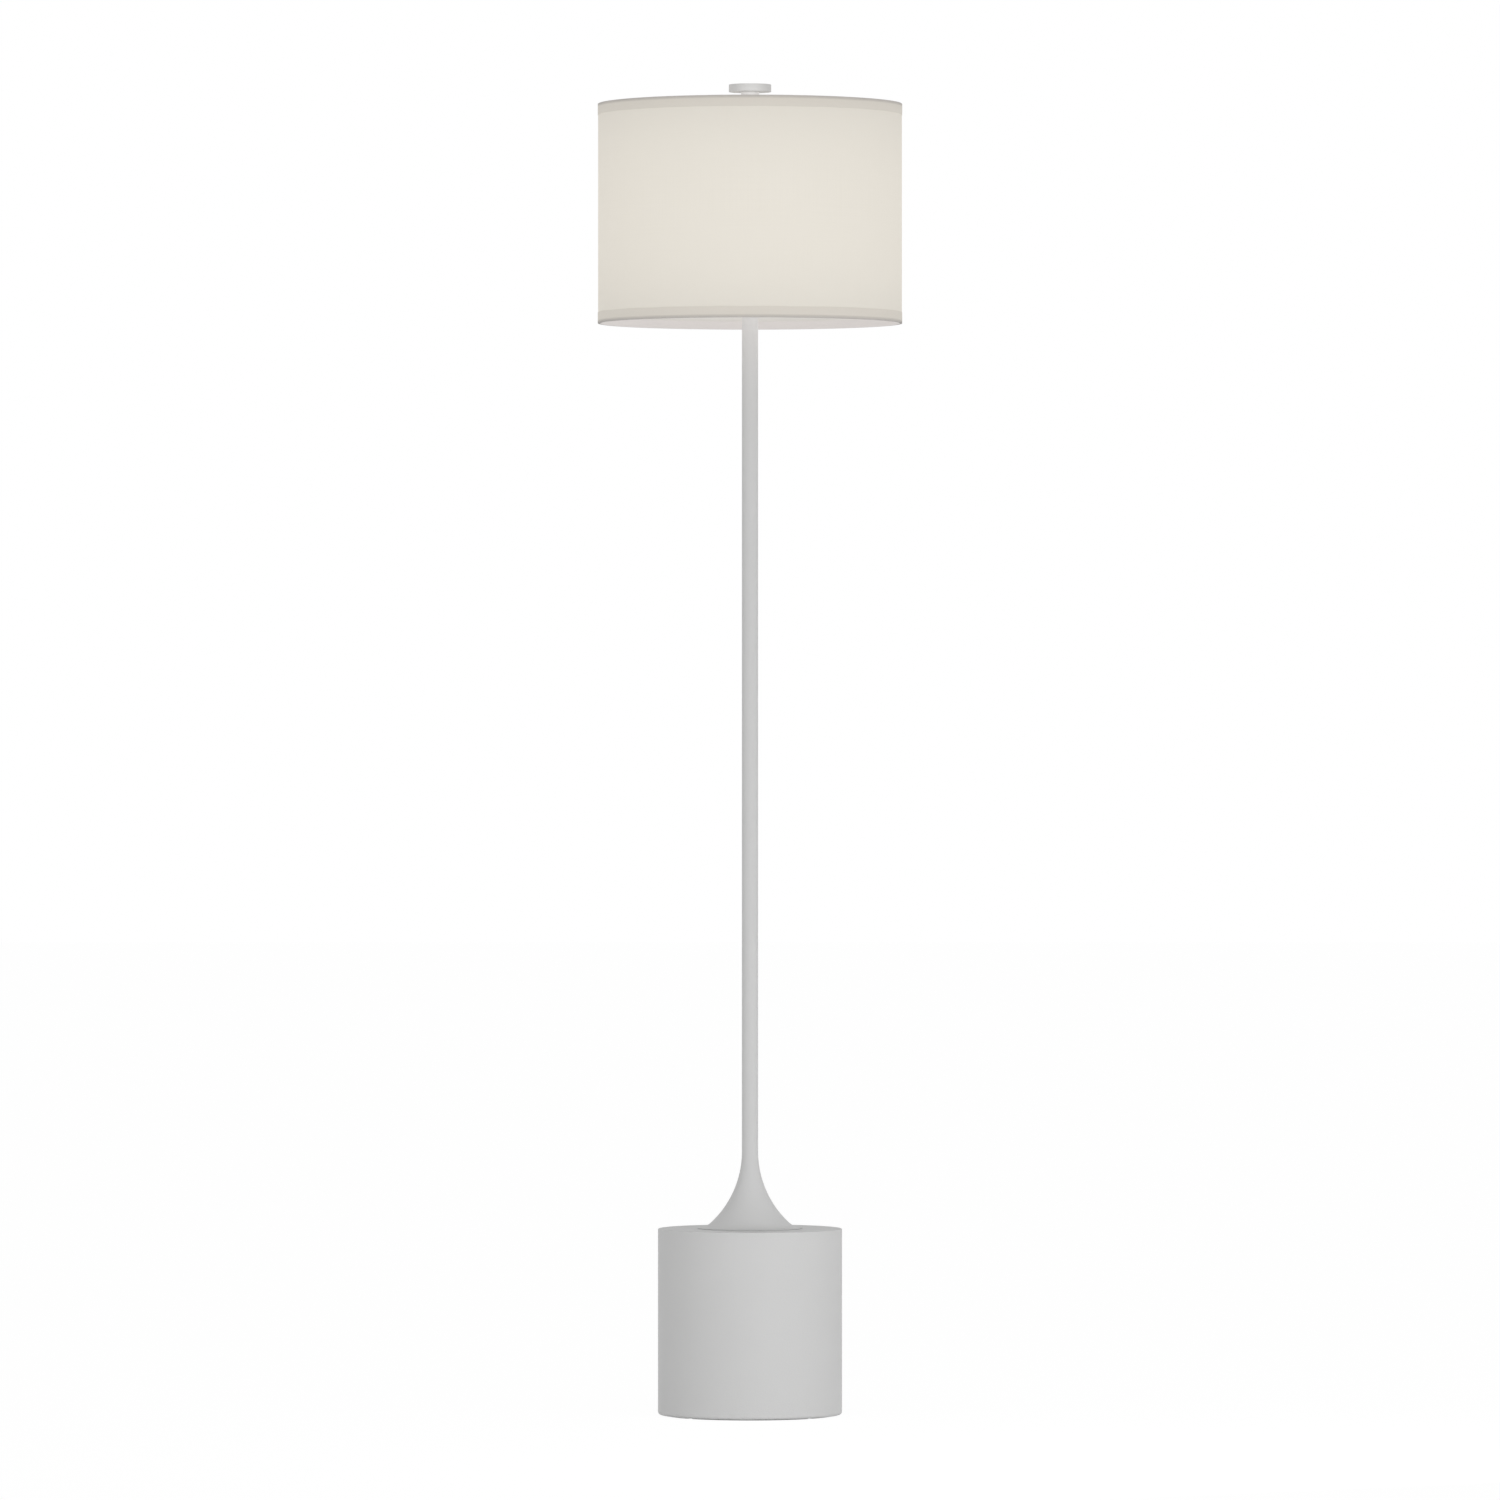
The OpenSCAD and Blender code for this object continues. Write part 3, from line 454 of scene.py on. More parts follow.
# %% Make the metals
def metal(slot, middle, rough, grain, depth, spread=0.06, crystals=0.0):
    """A bare metal with a grain; crystals gives the size of zinc's flat patches."""
    made = Finish(slot)
    fine = made.cloud(grain, 3)
    patch = made.cloud(grain * 14, 2)
    if crystals:
        cell = made.node("ShaderNodeTexVoronoi", out="Color", inputs={
            "Vector": made.place(), "Scale": 1 / crystals})
        patch = made.node("ShaderNodeSeparateColor", inputs={0: cell}) * 2 - 1
    share = (patch * 0.35 + fine * 0.15 + 0.5).clipped()
    return made.shade(
        base_color=made.blend(share, *tones(middle, spread)),
        metallic=1.0,
        roughness=(patch * 0.06 + fine * 0.05 + rough).clipped(),
        normal=made.bump(fine, depth))


keep(metal("zinc_steel", (0.56, 0.57, 0.59), 0.38, 0.6 * MM, 0.006 * MM, 0.12, 7 * MM))
keep(metal("nickel", (0.62, 0.59, 0.55), 0.26, 0.5 * MM, 0.003 * MM))
keep(metal("brass", (0.76, 0.58, 0.30), 0.28, 0.5 * MM, 0.004 * MM))
keep(metal("aluminium", (0.78, 0.78, 0.79), 0.32, 0.4 * MM, 0.004 * MM))

# %% [markdown]
# ## Everything that isn't metal
# Cast iron under its wash of black paint, felt, nylon, phenolic, rubber and paper fibre all
# scatter light, and differ in tone, gloss, grain and how deep the grain goes. White painted
# wire belongs here too.

# %% Make the plain finishes
def solid(slot, middle, rough, grain, depth, spread=0.06, **more):
    """A finish that scatters light, with grain in its tone, its gloss and its surface."""
    made = Finish(slot)
    fine = made.cloud(grain, 4)
    wide = made.cloud(grain * 20, 3)
    share = (fine * 0.25 + wide * 0.3 + 0.5).clipped()
    return made.shade(
        base_color=made.blend(share, *tones(middle, spread)),
        roughness=(fine * 0.05 + rough).clipped(),
        normal=made.bump(fine + wide * 0.4, depth),
        **more)


keep(solid("felt", (0.43, 0.43, 0.42), 0.95, 0.5 * MM, 0.25 * MM, 0.2, sheen_weight=0.2))
keep(solid("cast_iron", (0.055, 0.055, 0.058), 0.7, 0.8 * MM, 0.12 * MM, 0.25))
keep(solid("white_nylon", (0.78, 0.77, 0.74), 0.38, 1.2 * MM, 0.01 * MM, 0.02))
keep(solid("fibre", (0.36, 0.30, 0.23), 0.75, 0.7 * MM, 0.03 * MM, 0.12))
keep(solid("black_phenolic", (0.022, 0.020, 0.019), 0.32, 0.6 * MM, 0.006 * MM, 0.3,
           coat_weight=0.25))
keep(solid("black_rubber", (0.025, 0.025, 0.026), 0.5, 0.5 * MM, 0.01 * MM, 0.15))
keep(solid("white_rubber", (0.74, 0.74, 0.72), 0.48, 0.5 * MM, 0.01 * MM, 0.03))
keep(solid("white_wire", (0.74, 0.735, 0.72), 0.36, 0.9 * MM, 0.008 * MM, 0.03))

# %% [markdown]
# ## The lit bulb
# The globe is frosted inside and lit by four filaments, so it shows as one soft warm white
# shape, a bit brighter across the middle than at the neck. Its glow is kept just short of
# white, so that its round shape still shows against the liner. The stem is clear glass.

# %% Make the bulb's finishes
GLOBE_Z, GLOBE_FALL = 1.434, 260  # height of the globe's middle, and how fast it dims from there
GLOBE_NECK, GLOBE_LIGHT = colour(0.56, 0.46, 0.33), colour(0.70, 0.65, 0.545)

globe = Finish("frosted_glass")
frost = globe.cloud(0.5 * MM, 3)
from_middle = globe.split(globe.place(), "Z")[0] - GLOBE_Z
warmth = (1 - from_middle * from_middle * GLOBE_FALL).clipped()
keep(globe.shade(
    base_color=globe.blend((frost * 0.3 + 0.5).clipped(), *tones((0.30, 0.29, 0.27), 0.02)),
    roughness=(frost * 0.05 + 0.4).clipped(),
    emission_color=globe.blend(warmth, GLOBE_NECK, GLOBE_LIGHT),
    emission_strength=1.0,
    normal=globe.bump(frost, 0.008 * MM)))

keep(solid("clear_glass", (0.95, 0.96, 0.96), 0.05, 3 * MM, 0.004 * MM, 0.01,
           transmission_weight=1.0, ior=1.47))

CHIP = 1.5 * MM  # from one glowing chip to the next

filament = Finish("filament")
along = filament.split(filament.place(), "Z")[0]
chips = ((along * (math.tau / CHIP)).sine() * 0.5 + 0.5).clipped()
keep(filament.shade(
    base_color=filament.blend(chips, colour(0.80, 0.46, 0.10), colour(0.92, 0.62, 0.16)),
    roughness=(filament.cloud(0.4 * MM) * 0.1 + 0.5).clipped(),
    emission_color=filament.blend(chips, colour(0.9, 0.55, 0.2), colour(1.0, 0.75, 0.35)),
    emission_strength=1.0))

# %% [markdown]
# ## Working by hand, in code
# A piece starts as a primitive at its place and is shaped in edit mode. An operator acts on all
# that is selected, so everything is deselected first. These helpers add a primitive, open it
# for editing, select what passes a test, apply a modifier, and seat the finished piece.

# %% Start and edit a piece
def select_only(*pieces):
    """Selects pieces and nothing else, with the first one active."""
    bpy.ops.object.select_all(action="DESELECT")
    for piece in pieces:
        piece.select_set(True)
    bpy.context.view_layer.objects.active = pieces[0]


def start(add, name, **size):
    """Adds a primitive with nothing else selected."""
    bpy.ops.object.select_all(action="DESELECT")
    add(**size)
    piece = bpy.context.object
    piece.name = piece.data.name = name
    return piece


@contextmanager
def editing(piece):
    """Opens a piece in edit mode with nothing selected, and closes it."""
    select_only(piece)
    bpy.ops.object.mode_set(mode="EDIT")
    bpy.ops.mesh.select_mode(type="VERT")
    bpy.ops.mesh.select_all(action="DESELECT")
    yield
    bpy.ops.object.mode_set(mode="OBJECT")


def pick_edges(piece, test):
    """Selects the edges whose two end points pass the test."""
    bpy.ops.mesh.select_mode(type="EDGE")
    mesh = bmesh.from_edit_mesh(piece.data)
    for edge in mesh.edges:
        edge.select_set(test(*(corner.co for corner in edge.verts)))
    bmesh.update_edit_mesh(piece.data)


def merge_doubles():
    """Merges the vertices that lie in one place, in edit mode."""
    bpy.ops.mesh.select_all(action="SELECT")
    bpy.ops.mesh.remove_doubles(threshold=0.0005 * MM)


def tidy_mesh():
    """Merges doubles and turns every face outwards, in edit mode."""
    merge_doubles()
    bpy.ops.mesh.normals_make_consistent(inside=False)


# %% Modifiers, copies and joins
def modify(piece, kind, **settings):
    """Adds a modifier, sets it and applies it."""
    select_only(piece)
    bpy.ops.object.modifier_add(type=kind)
    modifier = piece.modifiers[-1]
    for name, value in settings.items():
        setattr(modifier, name, value)
    bpy.ops.object.modifier_apply(modifier=modifier.name)


def bore(piece, cutter):
    """Cuts one piece out of another, and clears the cutter away."""
    modify(piece, "BOOLEAN", object=cutter, operation="DIFFERENCE", solver="EXACT")
    bpy.data.objects.remove(cutter)


def joined(name, pieces):
    """Joins pieces into the first, in place."""
    select_only(*pieces)
    bpy.ops.object.transform_apply(location=True, rotation=True, scale=True)
    bpy.ops.object.join()
    pieces[0].name = pieces[0].data.name = name
    return pieces[0]


def ring_of(name, piece, count, first=0.0):
    """Copies a piece round the lamp's axis, each copy with its own mesh, and joins them."""
    made = []
    for k in range(count):
        copy = piece.copy()
        copy.data = piece.data.copy()
        bpy.context.scene.collection.objects.link(copy)
        copy.rotation_euler.z = first + math.tau * k / count
        made.append(copy)
    bpy.data.objects.remove(piece)
    return joined(name, made)


# %% Wires
def as_wire(curve, radius, rounds, steps):
    """Gives the active curve a round section and makes it a mesh."""
    curve.data.resolution_u = steps
    curve.data.bevel_depth, curve.data.bevel_resolution = radius * MM, rounds
    curve.data.use_fill_caps = True
    bpy.ops.object.convert(target="MESH")
    wire = bpy.context.object
    with editing(wire):
        tidy_mesh()
    return wire


# %% Seat a finished piece
def seat(piece, slot, body, *instead_of, angle=30, finish=None):
    """Puts a piece's place into its mesh, smooths it, paints it and lets it ride on a body."""
    select_only(piece)
    bpy.ops.object.transform_apply(location=True, rotation=True, scale=True)
    bpy.ops.object.shade_smooth_by_angle(angle=math.radians(angle))
    piece.data.materials.clear()
    piece.data.materials.append((finish or finishes[slot]).material)
    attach(piece, body)
    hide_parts(*instead_of)
    print("piece:", piece.name, "faces:", len(piece.data.polygons), "in place of", instead_of)
    return piece


def size_of(node):
    """Radius, lowest and highest point of a round node on the lamp's axis, in millimetres."""
    low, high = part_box(node)
    return high.x / MM, low.z / MM, high.z / MM


def held(value):
    """A value held between 0 and 1."""
    return min(1.0, max(0.0, value))


# %% [markdown]
# ## Turning on a lathe
# Most of a lamp's small parts are turned or spun, so the main tool is a lathe. A section is
# drawn from a single vertex, extruded from point to point, and spun round the axis. Its corners
# are rounded first, because no real edge is sharp and a round one catches the light.

# %% The lathe
def rounded(corners, steps=4):
    """An outline from (radius, height, corner rounding) corners, each with its own arc."""
    points = []
    for i, (x, z, rounding) in enumerate(corners):
        here = Vector((x, z))
        if not rounding:
            points.append(here)
            continue
        back = (Vector(corners[i - 1][:2]) - here).normalized()
        ahead = (Vector(corners[(i + 1) % len(corners)][:2]) - here).normalized()
        half = back.angle(ahead) / 2
        centre = here + (back + ahead).normalized() * (rounding / math.sin(half))
        first, last = (here + way * (rounding / math.tan(half)) - centre for way in (back, ahead))
        points += [centre + first.slerp(last, k / steps) * rounding for k in range(steps + 1)]
    return points


def turned(name, section, steps=96, sweep=math.tau, closed=True):
    """Spins a section, given in millimetres as (radius, height), round the Z axis."""
    piece = start(bpy.ops.mesh.primitive_plane_add, name, size=MM)
    route = [Vector((x * MM, 0, z * MM)) for x, z in section]
    if closed:
        route.append(route[0])
    with editing(piece):
        bpy.ops.mesh.select_all(action="SELECT")
        bpy.ops.mesh.merge(type="CENTER")
        bpy.ops.transform.translate(value=route[0])
        for here, there in zip(route, route[1:]):
            bpy.ops.mesh.extrude_region_move(TRANSFORM_OT_translate={"value": there - here})
        merge_doubles()
        bpy.ops.mesh.spin(steps=steps, angle=sweep, center=(0, 0, 0), axis=(0, 0, 1))
        tidy_mesh()
    return piece


def reshaped(piece, move):
    """Moves each vertex of a turned piece; move takes and returns radius, angle and height."""
    for vertex in piece.data.vertices:
        x, y, z = vertex.co / MM
        radius, angle, height = move(math.hypot(x, y), math.atan2(y, x), z)
        vertex.co = Vector((radius * math.cos(angle), radius * math.sin(angle), height)) * MM
    return piece


# %% [markdown]
# ## The linen drum
# The cloth is one straight strip, 1.12 m long and as wide as the shade is high, laminated to
# the liner and closed at the back. A cylinder without ends is the right start. It is divided up
# its height, mapped in metres, and gets its thickness inwards, away from the face that shows.

# %% Map a piece in metres
def map_round(piece, radius):
    """Gives a piece a map in metres: u round it at the given radius, v up it and across rims."""
    layers = piece.data.uv_layers
    layer = layers[0] if layers else layers.new(name="cloth")
    for face in piece.data.polygons:
        middle = math.atan2(face.center.y, face.center.x)
        for loop in face.loop_indices:
            corner = piece.data.vertices[piece.data.loops[loop].vertex_index].co
            angle = math.atan2(corner.y, corner.x)
            angle += math.tau * round((middle - angle) / math.tau)
            layer.data[loop].uv = (angle * radius, corner.z + math.hypot(corner.x, corner.y))


# %% Model the cloth
CLOTH_T = 0.4
cloth_r, cloth_low, cloth_top = size_of("shade_cloth")

linen = start(bpy.ops.mesh.primitive_cylinder_add, "linen_drum", vertices=256,
              radius=cloth_r * MM, depth=(cloth_top - cloth_low) * MM,
              end_fill_type="NOTHING", location=(0, 0, (cloth_top + cloth_low) / 2 * MM))
bpy.ops.object.transform_apply(location=True, rotation=False, scale=False)
with editing(linen):
    pick_edges(linen, lambda a, b: abs(a.z - b.z) > MM)
    bpy.ops.mesh.subdivide(number_cuts=19)
    tidy_mesh()
map_round(linen, cloth_r * MM)
modify(linen, "SOLIDIFY", thickness=CLOTH_T * MM, offset=-1)
seat(linen, "linen", "shade", "shade_cloth")

# %% [markdown]
# ## Hem tapes
# A bias-cut tape of the same linen wraps each edge of the shade: half an inch shows outside,
# it goes over the wire ring and is folded in behind. Turned from a section, it follows the
# ring's round back. A little noise keeps its folded edge from being ruler-straight.

# %% Model the hems
TAPE_T, TAPE_H, FOLD_H, FOLD_R = 0.35, 12.7, 9.0, 173.7
RIM = 0.05  # how far the tape stays off the cloth's edge
SWAY, WAVES = 0.35, 9  # how far its folded edges stray, and how often
tape_r = size_of("top_hem_tape")[0]


def hem(name, edge, up, node):
    """A tape over the edge at height edge; up is 1 for the top and -1 for the bottom."""
    over = RIM + TAPE_T
    outline = rounded([
        (tape_r - TAPE_T, -TAPE_H, 0.1), (tape_r, -TAPE_H, 0.16), (tape_r, over, 0.33),
        (FOLD_R, over, 2.0), (FOLD_R, -FOLD_H, 0.16), (FOLD_R + TAPE_T, -FOLD_H, 0.1),
        (FOLD_R + TAPE_T, RIM, 1.65), (tape_r - TAPE_T, RIM, 0.04)], steps=5)
    tape = turned(name, [(r, edge + up * z) for r, z in outline], steps=256)

    def settle(radius, angle, z):
        wave = noise.noise(Vector((math.cos(angle) * WAVES, math.sin(angle) * WAVES, edge)))
        loose = max(0.0, (edge - z) * up) / TAPE_H
        return radius, angle, z + SWAY * wave * loose

    reshaped(tape, settle)
    map_round(tape, tape_r * MM)
    return seat(tape, "hem_tape", "shade", node)


hems = [hem("top_hem", cloth_top, 1, "top_hem_tape"),
        hem("bottom_hem", cloth_low, -1, "bottom_hem_tape")]

# %% [markdown]
# ## The seam at the back
# Where the strip of cloth meets itself, one end is folded under and glued over the other. The
# fold is a flat ridge 12 mm wide that ends under the hem tapes. A short sweep of the lathe
# gives it the drum's curve, and its two ends are then filled.

# %% Model the seam
SEAM_W, SEAM_T = 12.0, 0.3
_, seam_low, seam_top = size_of("shade_seam")
seam_out = tape_r - TAPE_T + SEAM_T
sweep = SEAM_W / seam_out
flap = rounded([(seam_out - SEAM_T, seam_low, 0), (seam_out, seam_low, 0.12),
                (seam_out, seam_top, 0.12), (seam_out - SEAM_T, seam_top, 0)], steps=3)
seam = turned("back_seam", flap, steps=12, sweep=sweep)
with editing(seam):
    for side in (0, -sweep):  # the lathe turns clockwise, seen from above
        bpy.ops.mesh.select_all(action="DESELECT")
        pick_edges(seam, lambda a, b: all(abs(math.atan2(p.y, p.x) - side) < 1e-4 for p in (a, b)))
        bpy.ops.mesh.edge_face_add()
    tidy_mesh()
seam.rotation_euler.z = math.pi / 2 + sweep / 2
bpy.ops.object.transform_apply(location=False, rotation=True, scale=False)
map_round(seam, seam_out * MM)
seat(seam, "linen", "shade", "shade_seam", finish=doubled)

# %% [markdown]
# ## The felt pad
# A disc of grey felt is glued under the plate to spare the floor, with a notch for each screw.
# It is turned, its rim loosened a little, and the notches are cut with a round punch.

# %% Model the felt
SCREWS, SCREW_R, NOTCH_R = 4, 95.5, 4.8
FIRST_SCREW = math.radians(45)
FRAY, TUFTS, PLAIN_R = 0.25, 40, 90  # how deep the rim frays, how often, and from which radius
CUT = 20 * MM  # length of a punch or drill, more than any wall it goes through
pad_r, pad_low, pad_top = size_of("floor_pad")

felt = turned("felt_pad", rounded([(0, pad_low, 0), (pad_r, pad_low, 0.5), (pad_r, pad_top, 0.3),
                                   (0, pad_top, 0)]), steps=180, closed=False)


def fray(radius, angle, z):
    """Loosens the felt's rim a little."""
    tuft = noise.noise(Vector((angle * TUFTS, z, 0))) if radius > PLAIN_R else 0
    return radius + FRAY * tuft, angle, z


reshaped(felt, fray)
for k in range(SCREWS):
    way = FIRST_SCREW + math.tau * k / SCREWS
    punch = start(bpy.ops.mesh.primitive_cylinder_add, "punch", vertices=48,
                  radius=NOTCH_R * MM, depth=CUT,
                  location=(SCREW_R * MM * math.cos(way), SCREW_R * MM * math.sin(way), 0))
    bore(felt, punch)
seat(felt, "felt", "stand", "floor_pad")

# %% [markdown]
# ## Screws under the base
# Four pan-head screws hold the bottom plate. One is turned, slotted and then copied round.

# %% Model the screws
HEAD_R, HEAD_LOW, PLATE_LOW, SHANK_R, SHANK_TOP = 3.8, 0.6, 3.0, 2.0, 9.0
SLOT = (10 * MM, 1.0 * MM, 2.2 * MM)  # the cutter for a head's slot: half of it goes in

screw = turned("screw", rounded([
    (0, HEAD_LOW, 0), (HEAD_R, HEAD_LOW, 1.5), (HEAD_R, PLATE_LOW, 0.2), (SHANK_R, PLATE_LOW, 0),
    (SHANK_R, SHANK_TOP, 0.5), (0, SHANK_TOP, 0)]), steps=48, closed=False)
slot_cutter = start(bpy.ops.mesh.primitive_cube_add, "slot_cutter", size=1,
                    location=(0, 0, HEAD_LOW * MM))
slot_cutter.scale = SLOT
bore(screw, slot_cutter)
screw.location.x = SCREW_R * MM
select_only(screw)
bpy.ops.object.transform_apply(location=True, rotation=False, scale=False)
seat(ring_of("pan_screws", screw, SCREWS, FIRST_SCREW), "zinc_steel", "stand", "plate_screws")

# %% [markdown]
# ## The cord gland
# A white nylon bush lines the hole in the back of the drum. Its flange is rounded so that a
# cord is never bent over an edge. It is turned upright and then laid on its side.

# %% Model the gland
GLAND_BORE, GLAND_BARREL, FLANGE_T = 3.6, 6.0, 2.0
low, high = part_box("cord_gland")
gland_r, gland_in, gland_out = high.x / MM, low.y / MM, high.y / MM

gland = turned("gland_bush", rounded([
    (GLAND_BORE, gland_in, 0.3), (gland_r, gland_in, 0.6), (gland_r, gland_in + FLANGE_T, 0.3),
    (GLAND_BARREL, gland_in + FLANGE_T, 0.2), (GLAND_BARREL, gland_out - FLANGE_T, 0.2),
    (gland_r, gland_out - FLANGE_T, 0.2), (gland_r, gland_out, 1.3),
    (GLAND_BORE, gland_out, 0.9)]))
gland.rotation_euler.x = -math.pi / 2
gland.location.z = (low.z + high.z) / 2
seat(gland, "white_nylon", "stand", "cord_gland")

# %% [markdown]
# ## Nuts
# A hexagon nut is turned from bar, so its corners are cut off in a shallow cone, which leaves
# the curved edge that every nut has. The lathe makes the coned ring, and each outer vertex is
# then pulled in to the hexagon, down the cone.

# %% Model the nuts
FLATS, NUT_BORE, NUT_EDGE, CONE_R, CONE_H = 15.0, 5.0, 0.4, 7.15, 0.7
CORNER_R = FLATS / 2 / math.cos(math.pi / 6)


def hex_nut(name, node):
    """A chamfered nut in the place of a node."""
    _, low, high = size_of(node)
    ring = [(NUT_BORE, low + NUT_EDGE), (NUT_BORE + NUT_EDGE, low), (CONE_R, low),
            (CORNER_R, low + CONE_H), (CORNER_R, high - CONE_H), (CONE_R, high),
            (NUT_BORE + NUT_EDGE, high), (NUT_BORE, high - NUT_EDGE)]
    nut = turned(name, ring, steps=144)

    def to_hexagon(radius, angle, z):
        if radius < CONE_R + 0.1:
            return radius, angle, z
        flat = FLATS / 2 / math.cos(angle % (math.pi / 3) - math.pi / 6)
        rise = CONE_H * (flat - CONE_R) / (CORNER_R - CONE_R)
        return flat, angle, low + rise if z < (low + high) / 2 else high - rise

    return seat(reshaped(nut, to_hexagon), "zinc_steel", "stand", node)


hex_nut("saddle_hex_nut", "saddle_nut")
hex_nut("tie_hex_nut", "tie_nut")

# %% [markdown]
# ## The fluted knob
# The socket is switched by a small black knob that points forwards under the shade. It is a
# turned piece with a dished face, and eighteen flutes run along its grip. Twelve steps for
# each flute let a cosine press them in.

# %% Model the knob
KNOB_H, KNOB_HOLE, KNOB_GRIP = 15.0, 1.95, 9.0  # the shaft goes in as far as KNOB_GRIP
SKIRT_H, FLUTES_LOW, FLUTES_TOP = 4, 5.5, 13.2
RIM_W, BEVEL, DISH = 2, 0.6, 0.7  # the rim round the dished face
FLUTES, FLUTE_T = 18, 0.5
low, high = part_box("switch_knob")
knob_r, knob_back = high.x / MM, high.y

knob = turned("fluted_knob", rounded([
    (0, KNOB_GRIP, 0), (KNOB_HOLE, KNOB_GRIP, 0.2), (KNOB_HOLE, 0, 0.2), (knob_r - RIM_W, 0, 0.4),
    (knob_r, SKIRT_H, 0.8), (knob_r, FLUTES_LOW, 0), (knob_r, FLUTES_TOP, 0),
    (knob_r, KNOB_H, 1.0), (knob_r - RIM_W, KNOB_H, 0.4),
    (knob_r - RIM_W - BEVEL, KNOB_H - DISH, 0.4), (0, KNOB_H - DISH, 0)]),
    steps=12 * FLUTES, closed=False)


def flute(radius, angle, z):
    """Presses the grip in along each flute."""
    if radius < knob_r - 0.6 or not FLUTES_LOW - 0.2 < z < KNOB_H:
        return radius, angle, z
    return radius - FLUTE_T * (0.5 + 0.5 * math.cos(FLUTES * angle)) ** 2, angle, z


reshaped(knob, flute)
knob.rotation_euler.x = math.pi / 2
knob.location = (0, knob_back, (low.z + high.z) / 2)
seat(knob, "black_phenolic", "switch", "switch_knob")

# %% [markdown]
# ## Socket shell
# The socket's shell is drawn sheet with two rolled beads that stiffen it, and a hole at the
# front for the switch shaft.

# %% Model the shell
SHELL_T, BEAD, BEAD_W, HOLE_R = 0.6, 0.7, 0.7, 2.5
shell_r, shell_low, shell_top = size_of("socket_shell")
beads = (shell_low + 12.8, shell_top - 5.0)
low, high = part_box("switch_shaft")
shaft_z = (low.z + high.z) / 2

rows = [shell_low]
for middle in beads:
    rows += [middle + BEAD_W / 2 * k for k in range(-4, 5)]
rows.append(shell_top)
outside = [(shell_r + sum(BEAD * math.exp(-((z - middle) / BEAD_W) ** 2) for middle in beads), z)
           for z in rows]
section = outside + [(r - SHELL_T, z) for r, z in reversed(outside)]
shell = turned("beaded_shell", section)
drill = start(bpy.ops.mesh.primitive_cylinder_add, "drill", vertices=48, radius=HOLE_R * MM,
              depth=CUT, location=(0, -shell_r * MM, shaft_z), rotation=(math.pi / 2, 0, 0))
bore(shell, drill)
seat(shell, "nickel", "stand", "socket_shell")

# %% [markdown]
# ## Screw threads
# The bulb's cap and the shell that takes it have a rounded thread rolled into thin sheet. It
# is a helix, which rings could only suggest: each vertex of a finely divided tube is pressed in
# by a cosine that climbs one pitch for each turn, and the thread fades in and out at its ends.

# %% Threads
def thread(piece, crest, depth, pitch, low, high):
    """Presses a helical thread between two heights into the wall near the crest radius."""
    def press(radius, angle, z):
        fade = held((z - low) / pitch) * held((high - z) / pitch)
        groove = 0.5 + 0.5 * math.cos(math.tau * (z / pitch - angle / math.tau))
        near = abs(radius - crest) < depth
        return radius - (depth * groove * fade if near else 0), angle, z
    return reshaped(piece, press)


def threaded_tube(name, inner_r, outer_r, low, high, rows):
    """A plain tube with its walls divided into rows."""
    heights = [low + (high - low) * k / rows for k in range(rows + 1)]
    outside, inside = ([(radius, z) for z in heights] for radius in (outer_r, inner_r))
    return turned(name, outside + inside[::-1])


PITCH, THREAD_T, TURNS, CAP_WALL = 3.63, 0.45, 4, 0.35
PLAIN = 2  # plain wall at a thread's end
cap_r, cap_low, cap_top = size_of("bulb_cap")
cap = threaded_tube("bulb_thread", cap_r - THREAD_T - CAP_WALL, cap_r, cap_low, cap_top, 60)
thread(cap, cap_r, THREAD_T, PITCH, cap_low, cap_low + PITCH * TURNS + PLAIN)
seat(cap, "aluminium", "bulb", "bulb_cap")

LINING_IN, LINING_T = 13.3, 0.4
_, lining_low, lining_top = size_of("screw_shell")
lining = threaded_tube("socket_thread", LINING_IN, LINING_IN + LINING_T, lining_low, lining_top, 54)


def widen(radius, angle, z):
    """Presses the thread outwards, in step with the bulb's, in both walls."""
    fade = held((z - lining_low - PLAIN) / PITCH) * held((lining_top - z) / PLAIN)
    ridge = 0.5 - 0.5 * math.cos(math.tau * (z / PITCH - angle / math.tau))
    return radius + THREAD_T * ridge * fade, angle, z


seat(reshaped(lining, widen), "brass", "stand", "screw_shell")

# %% [markdown]
# ## The harp
# The harp is one piece of round spring wire: two straight legs, a swell to clear the bulb, and
# a flat eye on top. A Bezier curve with a round bevel is that wire. The eye is turned, and both
# become one mesh.

# %% Model the harp
WIRE_R, EYE_R, EYE_BORE = 1.7, 6.5, 2.25
LEG_X, LEG_H, SWELL_X, SWELL_H, EYE_X = 30.8, 32.0, 58.0, 108.0, 5.5
low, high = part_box("harp_frame")
leg_z = low.z / MM
knee_z, swell_z, eye_z = leg_z + LEG_H, leg_z + SWELL_H, high.z / MM - WIRE_R - 0.1

# each point as (x, z), with the handle before it and the handle after it
half = [((LEG_X, leg_z), (LEG_X, leg_z - 8), (LEG_X, leg_z + 8)),
        ((LEG_X, knee_z), (LEG_X, knee_z - 8), (LEG_X, knee_z + 24)),
        ((SWELL_X, swell_z), (SWELL_X, swell_z - 34), (SWELL_X, swell_z + 44)),
        ((EYE_X, eye_z), (SWELL_X / 2, eye_z), (EYE_X - 1.5, eye_z))]
other_half = [tuple((-x, z) for x, z in (place, after, before))
              for place, before, after in reversed(half)]
bend = start(bpy.ops.curve.primitive_bezier_curve_add, "harp_wire")
points = bend.data.splines[0].bezier_points
points.add(2 * len(half) - len(points))
for point, (place, before, after) in zip(points, half + other_half):
    point.handle_left_type = point.handle_right_type = "FREE"
    for part, (x, z) in (("co", place), ("handle_left", before), ("handle_right", after)):
        setattr(point, part, (x * MM, 0, z * MM))
wire = as_wire(bend, WIRE_R, rounds=5, steps=24)
